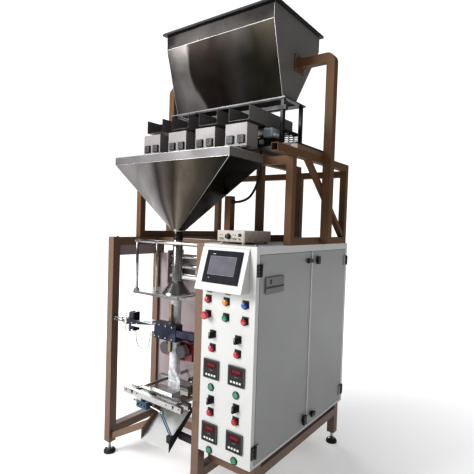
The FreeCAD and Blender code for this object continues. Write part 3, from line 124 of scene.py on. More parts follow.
class Paint:
    """A node material: its helpers add nodes and return their output sockets."""

    def __init__(self, name):
        self.made = bpy.data.materials.new(name)
        self.made.use_nodes = True
        self.tree = self.made.node_tree
        self.shader = self.tree.nodes["Principled BSDF"]

    def node(self, kind, **values):
        node = self.tree.nodes.new("ShaderNode" + kind)
        for key, value in values.items():
            if hasattr(node, key):
                setattr(node, key, value)
            else:
                node.inputs[key.replace("_", " ").title()].default_value = value
        return node

    def link(self, output, target):
        self.tree.links.new(output, target)

    def noise(self, scale, stretch=(1, 1, 1), detail=3.0, distortion=0.0):
        """Noise over the object's own coordinates, stretched along an axis if asked."""
        where = self.node("TexCoord")
        mapping = self.node("Mapping", Scale=[1 / s for s in stretch])
        noise = self.node("TexNoise", Scale=scale, Detail=detail, Distortion=distortion)
        self.link(where.outputs["Object"], mapping.inputs["Vector"])
        self.link(mapping.outputs[0], noise.inputs["Vector"])
        return noise.outputs["Fac"]

    def ramp(self, factor, stops):
        """A colour for each level of a factor."""
        ramp = self.node("ValToRGB")
        elements = ramp.color_ramp.elements
        while len(elements) < len(stops):
            elements.new(0.5)
        for element, (position, colour) in zip(elements, stops):
            element.position = position
            element.color = (*colour, 1)
        self.link(factor, ramp.inputs[0])
        return ramp.outputs["Color"]

    def span(self, factor, low, high, start=0.3, end=0.7):
        """A factor's middle stretch mapped to a range."""
        node = self.node("MapRange")
        for socket, value in zip(node.inputs[1:5], (start, end, low, high)):
            socket.default_value = value
        self.link(factor, node.inputs[0])
        return node.outputs[0]

    def mix(self, factor, first, second, blend="MIX"):
        """A mix of two colours, where sockets 0, 6 and 7 are the factor and the colours."""
        node = self.tree.nodes.new("ShaderNodeMix")
        node.data_type, node.blend_type = "RGBA", blend
        for socket, value in zip((node.inputs[0], node.inputs[6], node.inputs[7]), (factor, first, second)):
            if isinstance(value, bpy.types.NodeSocket):
                self.link(value, socket)
            else:
                socket.default_value = value if isinstance(value, float) else (*value, 1)
        return node.outputs[2]

    def maths(self, operation, first, second):
        """A sum of two sockets, or of a socket and a number."""
        node = self.node("Math", operation=operation)
        self.link(first, node.inputs[0])
        if isinstance(second, float):
            node.inputs[1].default_value = second
        else:
            self.link(second, node.inputs[1])
        return node.outputs[0]

    def colour(self, output):
        self.link(output, self.shader.inputs["Base Color"])

    def roughness(self, output):
        self.link(output, self.shader.inputs["Roughness"])

    def bump(self, height, strength, distance=0.001):
        node = self.node("Bump", Strength=strength, Distance=distance)
        self.link(height, node.inputs["Height"])
        self.link(node.outputs[0], self.shader.inputs["Normal"])

    def set(self, **values):
        for key, value in values.items():
            self.shader.inputs[key.replace("_", " ")].default_value = value


def painted(name, colour, shade=0.8, rough=(0.35, 0.5), grain=900.0, relief=0.12, worn=None, coat=0.1,
            shine=0.5):
    """Sprayed paint: a faint orange peel, slow colour drift and, if worn, edges rubbed to another colour."""
    paint = Paint(name)
    drift = paint.noise(2.5, detail=4.0)
    dark = tuple(c * shade for c in colour)
    body = paint.ramp(drift, [(0.3, dark), (0.7, colour)])
    if worn:
        edge = paint.span(paint.node("NewGeometry").outputs["Pointiness"], 0.0, 1.0, 0.515, 0.56)
        scuffs = paint.span(paint.noise(35, detail=5.0), 0.0, 0.8, 0.5, 0.7)
        body = paint.mix(paint.maths("MULTIPLY", edge, scuffs), body, worn)
    paint.colour(body)
    paint.roughness(paint.span(paint.noise(6, detail=2.0), *rough))
    paint.bump(paint.noise(grain, detail=2.0), relief, 0.0006)
    paint.set(Coat_Weight=coat, Coat_Roughness=0.25, Specular_IOR_Level=shine)
    return paint.made


def steel(name, dark, light, rough=(0.16, 0.34), stretch=(1, 1, 9), cloud=3.0):
    """Rolled or brushed metal: fine lines one way under slow smudges."""
    paint = Paint(name)
    lines = paint.noise(360.0, stretch, detail=4.0)
    smudge = paint.noise(cloud, detail=4.0, distortion=1.2)
    body = paint.mix(paint.span(lines, 0.0, 0.35), paint.ramp(smudge, [(0.32, dark), (0.68, light)]), dark)
    paint.colour(body)
    paint.roughness(paint.span(paint.noise(cloud * 2, detail=2.0), *rough))
    paint.bump(lines, 0.05, 0.0004)
    paint.set(Metallic=1.0)
    return paint.made


def steel_painted_reflections(name, apex, stops, wobble=0.12):
    """Mirror-rolled sheet with painted reflections: long light and dark streaks that meet at an apex height,
    or run straight down if it is None.
    """
    paint = Paint(name)
    parts = paint.node("SeparateXYZ")
    paint.link(paint.node("TexCoord").outputs["Object"], parts.inputs[0])
    across = parts.outputs["X"]
    if apex is not None:
        across = paint.maths("DIVIDE", across, paint.maths("SUBTRACT", parts.outputs["Z"], apex))
    sway = paint.span(paint.noise(3.2, (1, 1, 2.5), detail=2.0), -wobble, wobble)
    body = paint.ramp(paint.span(paint.maths("ADD", across, sway), 0.0, 1.0, -1.0, 1.0), stops)
    cloud = paint.ramp(paint.noise(7, (1, 1, 2), detail=4.0, distortion=0.8),
                       [(0.3, (0.72, 0.72, 0.72)), (0.7, (1.12, 1.1, 1.06))])
    paint.colour(paint.mix(1.0, body, cloud, "MULTIPLY"))
    paint.roughness(paint.span(paint.noise(4, detail=2.0), 0.14, 0.3))
    paint.bump(paint.noise(400, (1, 1, 10), detail=3.0), 0.04, 0.0004)
    paint.set(Metallic=1.0)
    return paint.made


def moulded(name, colour, rough=(0.35, 0.5), relief=0.15, coat=0.0, shine=0.3):
    """Moulded plastic or rubber with a fine grain."""
    paint = Paint(name)
    paint.colour(paint.ramp(paint.noise(40, detail=3.0),
                            [(0.3, tuple(c * 0.85 for c in colour)), (0.7, colour)]))
    paint.roughness(paint.span(paint.noise(25), *rough))
    paint.bump(paint.noise(1400.0, detail=2.0), relief, 0.0003)
    paint.set(Coat_Weight=coat, Coat_Roughness=0.08, Specular_IOR_Level=shine)
    return paint.made


def lens(name, colour):
    """A coloured translucent cap."""
    paint = Paint(name)
    paint.colour(paint.ramp(paint.noise(60, detail=2.0),
                            [(0.3, tuple(c * 0.75 for c in colour)), (0.7, colour)]))
    paint.roughness(paint.span(paint.noise(80), 0.12, 0.24))
    paint.bump(paint.noise(900, detail=1.0), 0.05, 0.0002)
    paint.set(Transmission_Weight=0.15, Coat_Weight=0.6, Coat_Roughness=0.06)
    return paint.made


def clear_film(name):
    """Thin laminate film, creased, milky where it folds."""
    paint = Paint(name)
    folds = paint.noise(26, (1, 1, 2.2), detail=5.0, distortion=1.5)
    paint.colour(paint.ramp(folds, [(0.35, (0.62, 0.64, 0.67)), (0.6, (0.9, 0.91, 0.93))]))
    paint.roughness(paint.span(folds, 0.12, 0.35))
    paint.bump(folds, 0.7, 0.004)
    paint.set(Transmission_Weight=0.25, Coat_Weight=0.4, Coat_Roughness=0.1)
    return paint.made


PAINTS = {
    "frame_paint": painted("brown_paint", (0.165, 0.098, 0.06), 0.88, (0.36, 0.46), relief=0.1),
    "cabinet_paint": painted("powder_coat", (0.55, 0.555, 0.54), 0.97, (0.42, 0.5), 650.0, 0.2),
    "grey_paint": painted("grey_enamel", (0.36, 0.3, 0.31), 0.8),
    "beige_paint": painted("beige_enamel", (0.56, 0.5, 0.42), 0.85, worn=(0.35, 0.3, 0.25)),
    "gear_grey": moulded("grey_mouldings", (0.42, 0.43, 0.42)),
    "black_steel": painted("black_enamel", (0.016, 0.015, 0.017), 0.7, shine=0.25),
    "dark_metal": steel("dark_anodised", (0.022, 0.026, 0.04), (0.06, 0.066, 0.095), (0.28, 0.42), cloud=9.0),
    "stainless": steel("rolled_stainless", (0.13, 0.125, 0.12), (0.3, 0.29, 0.28)),
    "stainless_dull": painted("matt_stainless", (0.14, 0.13, 0.127), 0.8, (0.35, 0.5)),
    "polished_steel": steel("ground_steel", (0.22, 0.22, 0.215), (0.5, 0.5, 0.49), (0.14, 0.28), (9, 1, 1)),
    "chromed": steel("chromed_bar", (0.25, 0.25, 0.25), (0.55, 0.55, 0.55), (0.08, 0.18)),
    "brass_bar": steel("machined_brass", (0.2, 0.165, 0.11), (0.34, 0.28, 0.19), (0.3, 0.42)),
    "aluminium_part": steel("machined_aluminium", (0.55, 0.56, 0.57), (0.75, 0.76, 0.77), (0.3, 0.45)),
    "motor_red": painted("motor_enamel", (0.3, 0.012, 0.015), 0.7, (0.25, 0.4), 500.0, 0.2, coat=0.4),
    "black_plastic": moulded("black_plastic", (0.018, 0.018, 0.019)),
    "lamp_red": lens("red_cap", (0.55, 0.012, 0.03)),
    "button_green": lens("green_cap", (0.01, 0.27, 0.12)),
    "rubber_black": moulded("black_rubber", (0.03, 0.03, 0.032), (0.55, 0.75)),
    "cable_black": moulded("cable_sheath", (0.016, 0.016, 0.018), (0.4, 0.55)),
    "hose_clear": moulded("clear_hose", (0.62, 0.66, 0.66), (0.12, 0.25), coat=0.5),
    "film": clear_film("laminate_film"),
}
WARM_BROWN = painted("warm_brown_paint", (0.135, 0.072, 0.034), 0.88, (0.52, 0.62), relief=0.1, coat=0.0,
                     shine=0.2)
AMBER = lens("amber_cap", (0.72, 0.27, 0.03))
BLUE = lens("blue_cap", (0.012, 0.09, 0.42))
SCREEN = moulded("screen_glass", (0.075, 0.07, 0.1), (0.3, 0.4), relief=0.0, shine=0.15)
CHARCOAL = moulded("charcoal_plastic", (0.018, 0.017, 0.024), (0.55, 0.7), shine=0.12)
DISPLAY = moulded("red_display", (0.06, 0.006, 0.01), (0.25, 0.35), relief=0.0, shine=0.15)
KEY = moulded("pale_key", (0.75, 0.76, 0.75))
CREAM = moulded("cream_nylon", (0.68, 0.63, 0.55))
BLUE_PAINT = painted("blue_enamel", (0.03, 0.09, 0.15), 0.7)
BUCKET_STEEL = painted("bucket_sheet", (0.25, 0.225, 0.225), 0.85, (0.35, 0.5))
BLUE_HOSE = moulded("blue_hose", (0.04, 0.16, 0.26), (0.2, 0.3), coat=0.4)
LABEL = painted("blank_label", (0.17, 0.17, 0.17), 0.8, relief=0.05)
COPPER = steel("copper_winding", (0.25, 0.09, 0.04), (0.4, 0.17, 0.08), (0.35, 0.5))
# painted reflections: the light and dark streaks on the hopper and the funnel stand for a room mirrored in
# their steel
HOPPER_PAINTED_REFLECTIONS = steel_painted_reflections("hopper_sheet", None, [
    (0.28, (0.055, 0.052, 0.05)), (0.34, (0.13, 0.125, 0.125)), (0.398, (0.12, 0.115, 0.112)),
    (0.408, (0.016, 0.013, 0.012)), (0.5, (0.012, 0.009, 0.008)), (0.58, (0.02, 0.019, 0.018)),
    (0.64, (0.012, 0.011, 0.008)), (0.7, (0.022, 0.02, 0.016)), (0.74, (0.035, 0.033, 0.03))], wobble=0.07)
FUNNEL_PAINTED_REFLECTIONS = steel_painted_reflections("funnel_sheet", 1.34, [
    (0.02, (0.24, 0.23, 0.235)), (0.16, (0.3, 0.29, 0.295)), (0.3, (0.2, 0.19, 0.195)),
    (0.38, (0.05, 0.043, 0.046)), (0.46, (0.12, 0.105, 0.1)), (0.54, (0.045, 0.036, 0.03)),
    (0.62, (0.15, 0.135, 0.11)), (0.78, (0.06, 0.052, 0.042)), (0.95, (0.03, 0.028, 0.027))])
# painted shade: a dark steel for faces where shade falls
SHADE_SHEET = steel("shaded_sheet", (0.03, 0.028, 0.027), (0.05, 0.047, 0.044))
# painted shade: a matt grey for the steel's side faces, darker than the lit front
SIDE_PAINTED_SHADE = painted("side_painted_shade", (0.15, 0.142, 0.135), 0.85, (0.25, 0.4))
PALE_SHEET = steel("pale_sheet", (0.075, 0.073, 0.074), (0.12, 0.117, 0.12), (0.38, 0.5))
# painted sheen: a pale coat for the top of the collar's tray
TRAY_PAINTED_SHEEN = painted("tray_painted_sheen", (0.62, 0.6, 0.6), 0.8, (0.2, 0.32), coat=0.5)
# painted shade: the side doors on the machine's shaded right side in a darker grey than the cabinet
DOOR_PAINTED_SHADE = painted("door_painted_shade", (0.31, 0.315, 0.31), 0.97, (0.42, 0.5), 650.0, 0.2)
TERMINAL = painted("terminal_box_paint", (0.3, 0.36, 0.4), 0.9)
GREY_RIM = moulded("grey_rim", (0.14, 0.14, 0.14))
DIGITS = moulded("display_digits", (0.2, 0.015, 0.025), (0.3, 0.4), relief=0.0, shine=0.15)
WINDOW_GREY = moulded("window_grey", (0.06, 0.065, 0.07))
WELD_BEAD = steel("weld_bead", (0.35, 0.34, 0.33), (0.55, 0.54, 0.52), (0.25, 0.4))
# painted highlight: a white strip along the seam between the side doors
SEAM_PAINTED_HIGHLIGHT = painted("seam_painted_highlight", (0.9, 0.9, 0.88), 0.97)
PALE_BEIGE = painted("pale_beige", (0.5, 0.47, 0.43), 0.93)
ROLL_FILM = painted("wound_film", (0.62, 0.64, 0.66), 0.9, (0.18, 0.3), 300.0, 0.05, coat=0.4)
BOARD = moulded("roll_core_board", (0.4, 0.28, 0.17), (0.6, 0.75))
BLACK, POLISHED, ENAMEL = PAINTS["black_plastic"], PAINTS["polished_steel"], PAINTS["black_steel"]
RED_CAP, GREEN_CAP = PAINTS["lamp_red"], PAINTS["button_green"]

# ---- free cords


def round_line(name, points, diameter, paint):
    """A smooth flexible line along given points."""
    data = bpy.data.curves.new(name, "CURVE")
    data.dimensions = "3D"
    spline = data.splines.new("NURBS")
    spline.points.add(len(points) - 1)
    for target, point in zip(spline.points, points):
        target.co = (*point, 1)
    spline.order_u = 3
    spline.use_endpoint_u = True
    spline.resolution_u = 8
    data.bevel_depth = diameter / 2
    data.bevel_resolution = 4
    data.use_fill_caps = True
    data.materials.append(paint)
    line = bpy.data.objects.new(name, data)
    bpy.context.scene.collection.objects.link(line)
    return line


FEEDER_CABLE = [(0.377, -0.146, 1.868), (0.377, -0.146, 1.812), (0.377, -0.150, 1.756),
                (0.377, -0.164, 1.702), (0.377, -0.190, 1.652), (0.377, -0.228, 1.608),
                (0.367, -0.252, 1.586), (0.349, -0.270, 1.574), (0.325, -0.280, 1.568),
                (0.302, -0.280, 1.568)]
AIR_HOSE = [(-0.140, -0.466, 0.812), (-0.140, -0.466, 0.770), (-0.152, -0.464, 0.728),
            (-0.180, -0.461, 0.696), (-0.222, -0.460, 0.690), (-0.256, -0.461, 0.714),
            (-0.268, -0.462, 0.753), (-0.268, -0.462, 0.795)]


def make_cord(name, points, diameter, slot):
    """A cord that hangs between two places on the machine, in place of its plain CAD tube."""
    line = round_line(name + "_line", points, diameter, PAINTS[slot])
    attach(line, "machine")
    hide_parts(name)


make_cord("feeder_cable", FEEDER_CABLE, 0.013, "cable_black")
make_cord("air_hose", AIR_HOSE, 0.008, "hose_clear")

# ---- mesh pieces

SHARP = math.radians(50)
COIL_STEPS = 12
ENDS = (-1, 1)


def middle_of(node):
    low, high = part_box(node)
    return (low + high) / 2


class Piece:
    """Shapes gathered into one mesh, which rides on a CAD body."""

    def __init__(self, paint):
        self.points, self.faces, self.marks = [], [], []
        self.paints = [paint]
        self.mark = 0

    def use(self, paint):
        """The shapes that follow take this material."""
        if paint not in self.paints:
            self.paints.append(paint)
        self.mark = self.paints.index(paint)
        return self

    def add(self, points, faces):
        base = len(self.points)
        self.points += [Vector(p) for p in points]
        self.faces += [tuple(base + i for i in face) for face in faces]
        self.marks += [self.mark] * len(faces)

    def box(self, low, high, edge=0.0015, turn=None):
        """A block with chamfered edges, turned about its middle if asked."""
        middle = (Vector(low) + Vector(high)) / 2
        half = (Vector(high) - Vector(low)) / 2
        edge = min(edge, 0.3 * min(half))
        points, index = [], {}
        for signs in product(ENDS, repeat=3):
            for axis in range(3):
                index[signs, axis] = len(points)
                reach = [h - (0 if a == axis else edge) for a, h in enumerate(half)]
                point = Vector([s * r for s, r in zip(signs, reach)])
                points.append(middle + (turn @ point if turn else point))
        faces = []
        for axis in range(3):
            b, c = (axis + 1) % 3, (axis + 2) % 3
            for s in ENDS:
                loop = []
                for u, v in ((-1, -1), (1, -1), (1, 1), (-1, 1)):
                    sign = [0, 0, 0]
                    sign[axis], sign[b], sign[c] = s, u, v
                    loop.append(index[tuple(sign), axis])
                faces.append(loop if s > 0 else loop[::-1])
            for u, v in product(ENDS, repeat=2):
                near, far = [0, 0, 0], [0, 0, 0]
                near[axis], far[axis] = ENDS
                near[b] = far[b] = u
                near[c] = far[c] = v
                near, far = tuple(near), tuple(far)
                loop = [index[near, b], index[far, b], index[far, c], index[near, c]]
                faces.append(loop if u * v < 0 else loop[::-1])
        for signs in product(ENDS, repeat=3):
            loop = [index[signs, axis] for axis in range(3)]
            faces.append(loop if math.prod(signs) > 0 else loop[::-1])
        self.add(points, faces)
        return self

    def lathe(self, outline, start, axis=Z, sides=24):
        """An outline of (radius, height) pairs turned about an axis through start."""
        turn = Z.rotation_difference(Vector(axis))
        points, rings = [], []
        for radius, height in outline:
            if radius == 0:
                rings.append([len(points)] * sides)
                points.append(Vector(start) + turn @ Vector((0, 0, height)))
                continue
            rings.append(list(range(len(points), len(points) + sides)))
            for i in range(sides):
                angle = 2 * math.pi * i / sides
                around = Vector((radius * math.cos(angle), radius * math.sin(angle), height))
                points.append(Vector(start) + turn @ around)
        faces = []
        for low, high in zip(rings, rings[1:]):
            for i in range(sides):
                j = (i + 1) % sides
                loop = list(dict.fromkeys([low[i], low[j], high[j], high[i]]))
                if len(loop) > 2:
                    faces.append(loop)
        if outline[0] == outline[-1]:
            last = {b: a for a, b in zip(rings[0], rings[-1])}
            faces = [[last.get(i, i) for i in face] for face in faces]
            points = points[:-sides]
        else:
            faces += [ring for ring in (rings[0][::-1], rings[-1]) if ring[0] != ring[1]]
        self.add(points, faces)
        return self

    def rod(self, start, end, radius, edge=0.001, sides=20):
        """A round bar with chamfered ends."""
        run = Vector(end) - Vector(start)
        edge = min(edge, 0.4 * radius, 0.4 * run.length)
        outline = [(radius - edge, 0), (radius, edge), (radius, run.length - edge),
                   (radius - edge, run.length)]
        return self.lathe(outline, start, run, sides)

    def ring(self, start, axis, outer, inner, length, edge=0.0008, sides=28):
        """A sleeve with chamfered rims."""
        edge = min(edge, 0.3 * (outer - inner), 0.3 * length)
        outline = [(inner, edge), (inner + edge, 0), (outer - edge, 0), (outer, edge), (outer, length - edge),
                   (outer - edge, length), (inner + edge, length), (inner, length - edge), (inner, edge)]
        return self.lathe(outline, start, axis, sides)

    def bolt(self, start, axis, size=0.006, height=0.004):
        """A hexagon head on a washer."""
        washer = 0.0012
        self.rod(start, Vector(start) + Vector(axis).normalized() * washer, size * 1.35, 0.0003)
        outline = [(size, washer), (size, washer + height * 0.8), (size * 0.85, washer + height)]
        return self.lathe(outline, start, axis, 6)

    def sweep(self, path, radius, sides):
        """A round line along points, each ring square to the path."""
        path = [Vector(p) for p in path]
        points, across = [], None
        for i, point in enumerate(path):
            ahead = (path[min(i + 1, len(path) - 1)] - path[max(i - 1, 0)]).normalized()
            if across is None:
                across = ahead.orthogonal().normalized()
            across = (across - ahead * across.dot(ahead)).normalized()
            other = ahead.cross(across)
            for k in range(sides):
                angle = 2 * math.pi * k / sides
                points.append(point + (across * math.cos(angle) + other * math.sin(angle)) * radius)
        faces = []
        for i in range(len(path) - 1):
            for k in range(sides):
                m = (k + 1) % sides
                faces.append([i * sides + k, i * sides + m, (i + 1) * sides + m, (i + 1) * sides + k])
        faces.append(list(range(sides))[::-1])
        faces.append(list(range((len(path) - 1) * sides, len(path) * sides)))
        self.add(points, faces)
        return self

    def spring(self, start, axis, radius, wire, length, turns):
        """A coil spring."""
        turn = Z.rotation_difference(Vector(axis))
        steps, path = turns * COIL_STEPS, []
        for i in range(steps + 1):
            angle = 2 * math.pi * i / COIL_STEPS
            around = Vector((radius * math.cos(angle), radius * math.sin(angle), length * i / steps))
            path.append(Vector(start) + turn @ around)
        return self.sweep(path, wire, 6)

    def slab(self, x, z, wide, tall, front, back, edge):
        """A block that faces the front, centred on x and z, between two depths."""
        return self.box((x - wide / 2, front, z - tall / 2), (x + wide / 2, back, z + tall / 2), edge)

    def made(self, name, body="machine", slot=None, replaces=()):
        mesh = bpy.data.meshes.new(name)
        mesh.from_pydata(self.points, [], self.faces)
        for paint in self.paints:
            mesh.materials.append(paint)
        mesh.polygons.foreach_set("material_index", self.marks)
        shell = bmesh.new()
        shell.from_mesh(mesh)
        bmesh.ops.recalc_face_normals(shell, faces=shell.faces)
        shell.to_mesh(mesh)
        shell.free()
        mesh.polygons.foreach_set("use_smooth", [True] * len(mesh.polygons))
        mesh.set_sharp_from_angle(angle=SHARP)
        piece = bpy.data.objects.new(name, mesh)
        bpy.context.scene.collection.objects.link(piece)
        weighted = piece.modifiers.new("weighted", "WEIGHTED_NORMAL")
        weighted.keep_sharp = True
        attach(piece, body)
        if replaces:
            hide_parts(*replaces)
        return piece


NOT_BEVELLED = {"film_tube", "feeder_cable", "air_hose", "hopper_gantry"}
EDGE_WIDTH = 0.0008
EDGE_WIDTHS = {"main_frame": 0.004, "upper_frame": 0.0035, "weigher_controller": 0.003, "front_panel": 0.0005}
OWN_PAINT = {"hopper_gantry": WARM_BROWN, "upper_frame": WARM_BROWN, "front_door": DOOR_PAINTED_SHADE,
             "rear_door": DOOR_PAINTED_SHADE, "hopper": HOPPER_PAINTED_REFLECTIONS, "collection_funnel": FUNNEL_PAINTED_REFLECTIONS,
             "weigh_buckets": BUCKET_STEEL}


def finish_cad_nodes():
    """Gives each CAD node its finish and softens its edges."""
    for part in frame["record"]["subparts"]:
        node = frame["nodes"][part["node"]]
        node.data.materials.clear()
        node.data.materials.append(OWN_PAINT.get(part["node"]) or PAINTS[part["material_slot"]])
        weld = node.modifiers.new("weld", "WELD")
        weld.merge_threshold = 0.00002
        if part["node"] in NOT_BEVELLED:
            continue
        bevel = node.modifiers.new("bevel", "BEVEL")
        bevel.width = EDGE_WIDTHS.get(part["node"], EDGE_WIDTH)
        bevel.segments = 2
        bevel.limit_method = "ANGLE"
        bevel.angle_limit = math.radians(35)


finish_cad_nodes()

# ---- faces of CAD nodes that differ

HOPPER_CREASE = 2.596
RIM_DEPTH, FLANGE_DEPTH = 0.0145, 0.0081
FUNNEL_BAND = 0.046
DECK_BARS_TOP, CROSS_BAR_FOOT = 1.8795, 2.086
TERMINAL_LEFT, TERMINAL_RIGHT, TERMINAL_FRONT, TERMINAL_FOOT = 0.399, 0.456, -0.060, 1.920
COIL_FOOT, COIL_TOP, COIL_Y, COIL_HALF, COIL_RIGHT = 1.9525, 1.9825, -0.020, 0.033, 0.390
PAD_DEPTH = 0.0078
AIR_UNIT = Vector((-0.116, -0.575, 0.414)), Vector((-0.036, -0.528, 0.452))
SLIVER = 0.0005


def paint_faces(node, *rules):
    """Gives the faces of a CAD node that pass a test of middle and normal another paint."""
    mesh = frame["nodes"][node].data
    for paint, test in rules:
        mesh.materials.append(paint)
        for face in mesh.polygons:
            if test(face.center, face.normal):
                face.material_index = len(mesh.materials) - 1


def paint_hopper():
    """The band above the crease and the side sheets in painted shade, the black rim and the pale foot flange.
    """
    low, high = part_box("hopper")
    rim, flange = high.z - RIM_DEPTH, low.z + FLANGE_DEPTH
    paint_faces("hopper",
                # painted shade: the band above the crease and the side sheets take darker sheets
                (SHADE_SHEET, lambda c, n: c.z > HOPPER_CREASE and abs(n.x) < 0.5),
                (SIDE_PAINTED_SHADE, lambda c, n: abs(n.x) > 0.9 and flange < c.z < rim),
                (ENAMEL, lambda c, n: c.z > rim),
                (PALE_SHEET, lambda c, n: c.z < flange + 0.006))


def paint_funnel():
    """The pale rim band, and the shaded right side."""
    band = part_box("collection_funnel")[1].z - FUNNEL_BAND
    paint_faces("collection_funnel",
                (PALE_SHEET, lambda c, n: c.z > band and n.y < -0.5),
                # painted shade: the funnel's right side, on the band and below it
                (SIDE_PAINTED_SHADE, lambda c, n: c.z > band and n.x > 0.5),
                (SHADE_SHEET, lambda c, n: c.z < band and n.x > 0.4))


def paint_feeders():
    """The bars under the deck, the cross bar, the terminal box, the coils, the pads, and the pan fronts in
    painted shade.
    """
    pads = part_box("weigh_buckets")[0].y + PAD_DEPTH
    paint_faces("vibrator_bases",
                (PAINTS["frame_paint"], lambda c, n: c.z < DECK_BARS_TOP),
                (BLACK, lambda c, n: c.z > CROSS_BAR_FOOT and c.y < -0.08),
                (TERMINAL, lambda c, n: TERMINAL_LEFT < c.x < TERMINAL_RIGHT and c.z > TERMINAL_FOOT
                    and c.y < TERMINAL_FRONT),
                (COPPER, lambda c, n: COIL_FOOT < c.z < COIL_TOP and abs(c.y - COIL_Y) < COIL_HALF
                    and c.x < COIL_RIGHT))
    paint_faces("weigh_buckets", (BLACK, lambda c, n: c.y < pads))
    # painted shade: the pans' front faces take the dark steel
    paint_faces("vibrator_pans", (SHADE_SHEET, lambda c, n: n.y < -0.9))


def paint_seal_unit():
    """The bright studs and outer cheeks on the left, and the cast valve block."""
    cheek_right, cheek_back, valve_left, valve_right, valve_foot = -0.274, -0.430, -0.173, -0.103, 0.8325
    paint_faces("vertical_seal_unit",
                (POLISHED, lambda c, n: c.x < cheek_right and c.y < cheek_back),
                (PAINTS["aluminium_part"], lambda c, n: valve_left < c.x < valve_right and c.z > valve_foot))


def paint_pull_unit():
    """The motors' grey shelf and the bright ends of the rollers."""
    shelf_top = 0.6625
    paint_faces("pull_motors", (PAINTS["grey_paint"], lambda c, n: c.z < shelf_top))
    for roller in ("left_pull_roller", "right_pull_roller"):
        paint_faces(roller, (PALE_SHEET, lambda c, n: abs(n.y) > 0.7))


def paint_jaws_and_chute():
    """The blue pneumatic unit, the chute's brown stay, and its right wall in black enamel as painted shade.
    """
    low, high = AIR_UNIT
    stay_right, shaded_wall_left = -0.0775, 0.1335
    paint_faces("jaw_guides",
                (BLUE_PAINT, lambda c, n: low.x - SLIVER < c.x < high.x + SLIVER and c.y < high.y + SLIVER
                    and c.z < high.z + SLIVER))
    paint_faces("discharge_chute",
                (PAINTS["frame_paint"], lambda c, n: c.x < stay_right),
                # painted shade: the chute's right wall in black enamel
                (ENAMEL, lambda c, n: c.x > shaded_wall_left))


def paint_feet_and_frame():
    """The feet's threaded stems and the cable gland on the middle post."""
    pad_top, gland_left, gland_right, gland_foot, gland_top = 0.024, 0.2899, 0.3021, 1.55, 1.59
    paint_faces("leveling_feet", (POLISHED, lambda c, n: c.z > pad_top))
    paint_faces("upper_frame",
                (BLACK, lambda c, n: gland_left < c.x < gland_right and gland_foot < c.z < gland_top))


def paint_collar():
    """The polished collar above its tray, whose top takes a pale coat as a painted sheen."""
    tray_top = 1.043
    paint_faces("forming_collar",
                (POLISHED, lambda c, n: c.z > tray_top),
                # painted sheen: a pale coat on the tray's top faces
                (TRAY_PAINTED_SHEEN, lambda c, n: n.z > 0.9 and c.z < tray_top))


paint_hopper()
paint_funnel()
paint_feeders()
paint_seal_unit()
paint_pull_unit()
paint_jaws_and_chute()
paint_feet_and_frame()
paint_collar()

# ---- operator panel

FACE_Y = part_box("front_panel")[0].y
PHASE_COLUMNS, PHASE_ROW, PUSH_ROW = (0.330, 0.444, 0.558), 1.066, 0.989
HEAT_COLUMNS = (0.365, 0.521)
SWITCH_ROWS, HEAT_ROWS = (0.893, 0.562), (0.825, 0.500)
CONTROLLER_ROWS, READY_ROWS = (0.720, 0.398), (0.628, 0.308)
LAMP_RADIUS, READY_OUT, LAMP_OUT = 0.015, 0.007, 0.019
CONTROLLER, CONTROLLER_RIM = 0.096, 0.0025
FOUR = (-1.5, -0.5, 0.5, 1.5)
TOP_LEFT = Vector((0.292, -0.510, 1.345))
SLOPE = Vector((0, -0.066, -0.221)).normalized()
OUTWARD = Vector((0, SLOPE.z, -SLOPE.y))
SLOPE_TURN = Matrix((X, -OUTWARD, -SLOPE)).transposed()


def spots(rows):
    return [(x, z) for x in HEAT_COLUMNS for z in rows]


def on_slope(piece, left, down, wide, tall, low, high, edge):
    """A slab on the console's slope, measured from its top left corner."""
    middle = TOP_LEFT + X * (left + wide / 2) + SLOPE * (down + tall / 2) + OUTWARD * (low + high) / 2
    half = Vector((wide / 2, (high - low) / 2, tall / 2))
    return piece.box(middle - half, middle + half, edge, SLOPE_TURN)


def make_touch_screen():
    """The bezel in two steps, the glass, its rim, a blank badge and a small lamp."""
    screen = Piece(CHARCOAL)
    on_slope(screen, 0.040, 0.031, 0.215, 0.161, 0.0, 0.006, 0.0025)
    on_slope(screen, 0.050, 0.039, 0.195, 0.145, 0.006, 0.0072, 0.001)
    screen.use(SCREEN)
    on_slope(screen, 0.070, 0.062, 0.154, 0.088, 0.0072, 0.0080, 0.0004)
    screen.use(GREY_RIM)
    on_slope(screen, 0.067, 0.059, 0.160, 0.094, 0.0071, 0.0076, 0.0003)
    screen.use(KEY)
    on_slope(screen, 0.078, 0.048, 0.018, 0.0025, 0.0072, 0.0075, 0.0002)
    on_slope(screen, 0.078, 0.166, 0.004, 0.004, 0.0072, 0.0076, 0.0004)
    screen.made("operator_screen", slot="black_plastic", replaces=["touch_screen"])


def lamp(piece, spot, paint, out, holder):
    """A domed cap in a black bezel, with its lamp holder behind the panel."""
    x, z = spot
    piece.use(BLACK)
    piece.ring((x, FACE_Y - 0.005, z), Y, LAMP_RADIUS + 0.004, LAMP_RADIUS - 0.0005, 0.005)
    piece.rod((x, FACE_Y, z), (x, FACE_Y + 0.035, z), holder)
    piece.use(paint)
    dome = [(LAMP_RADIUS * across, out * along)
            for across, along in ((1, 0), (1, 0.62), (0.93, 0.8), (0.7, 0.95), (0, 1))]
    piece.lathe(dome, (x, FACE_Y - 0.0002, z), -Y, 28)


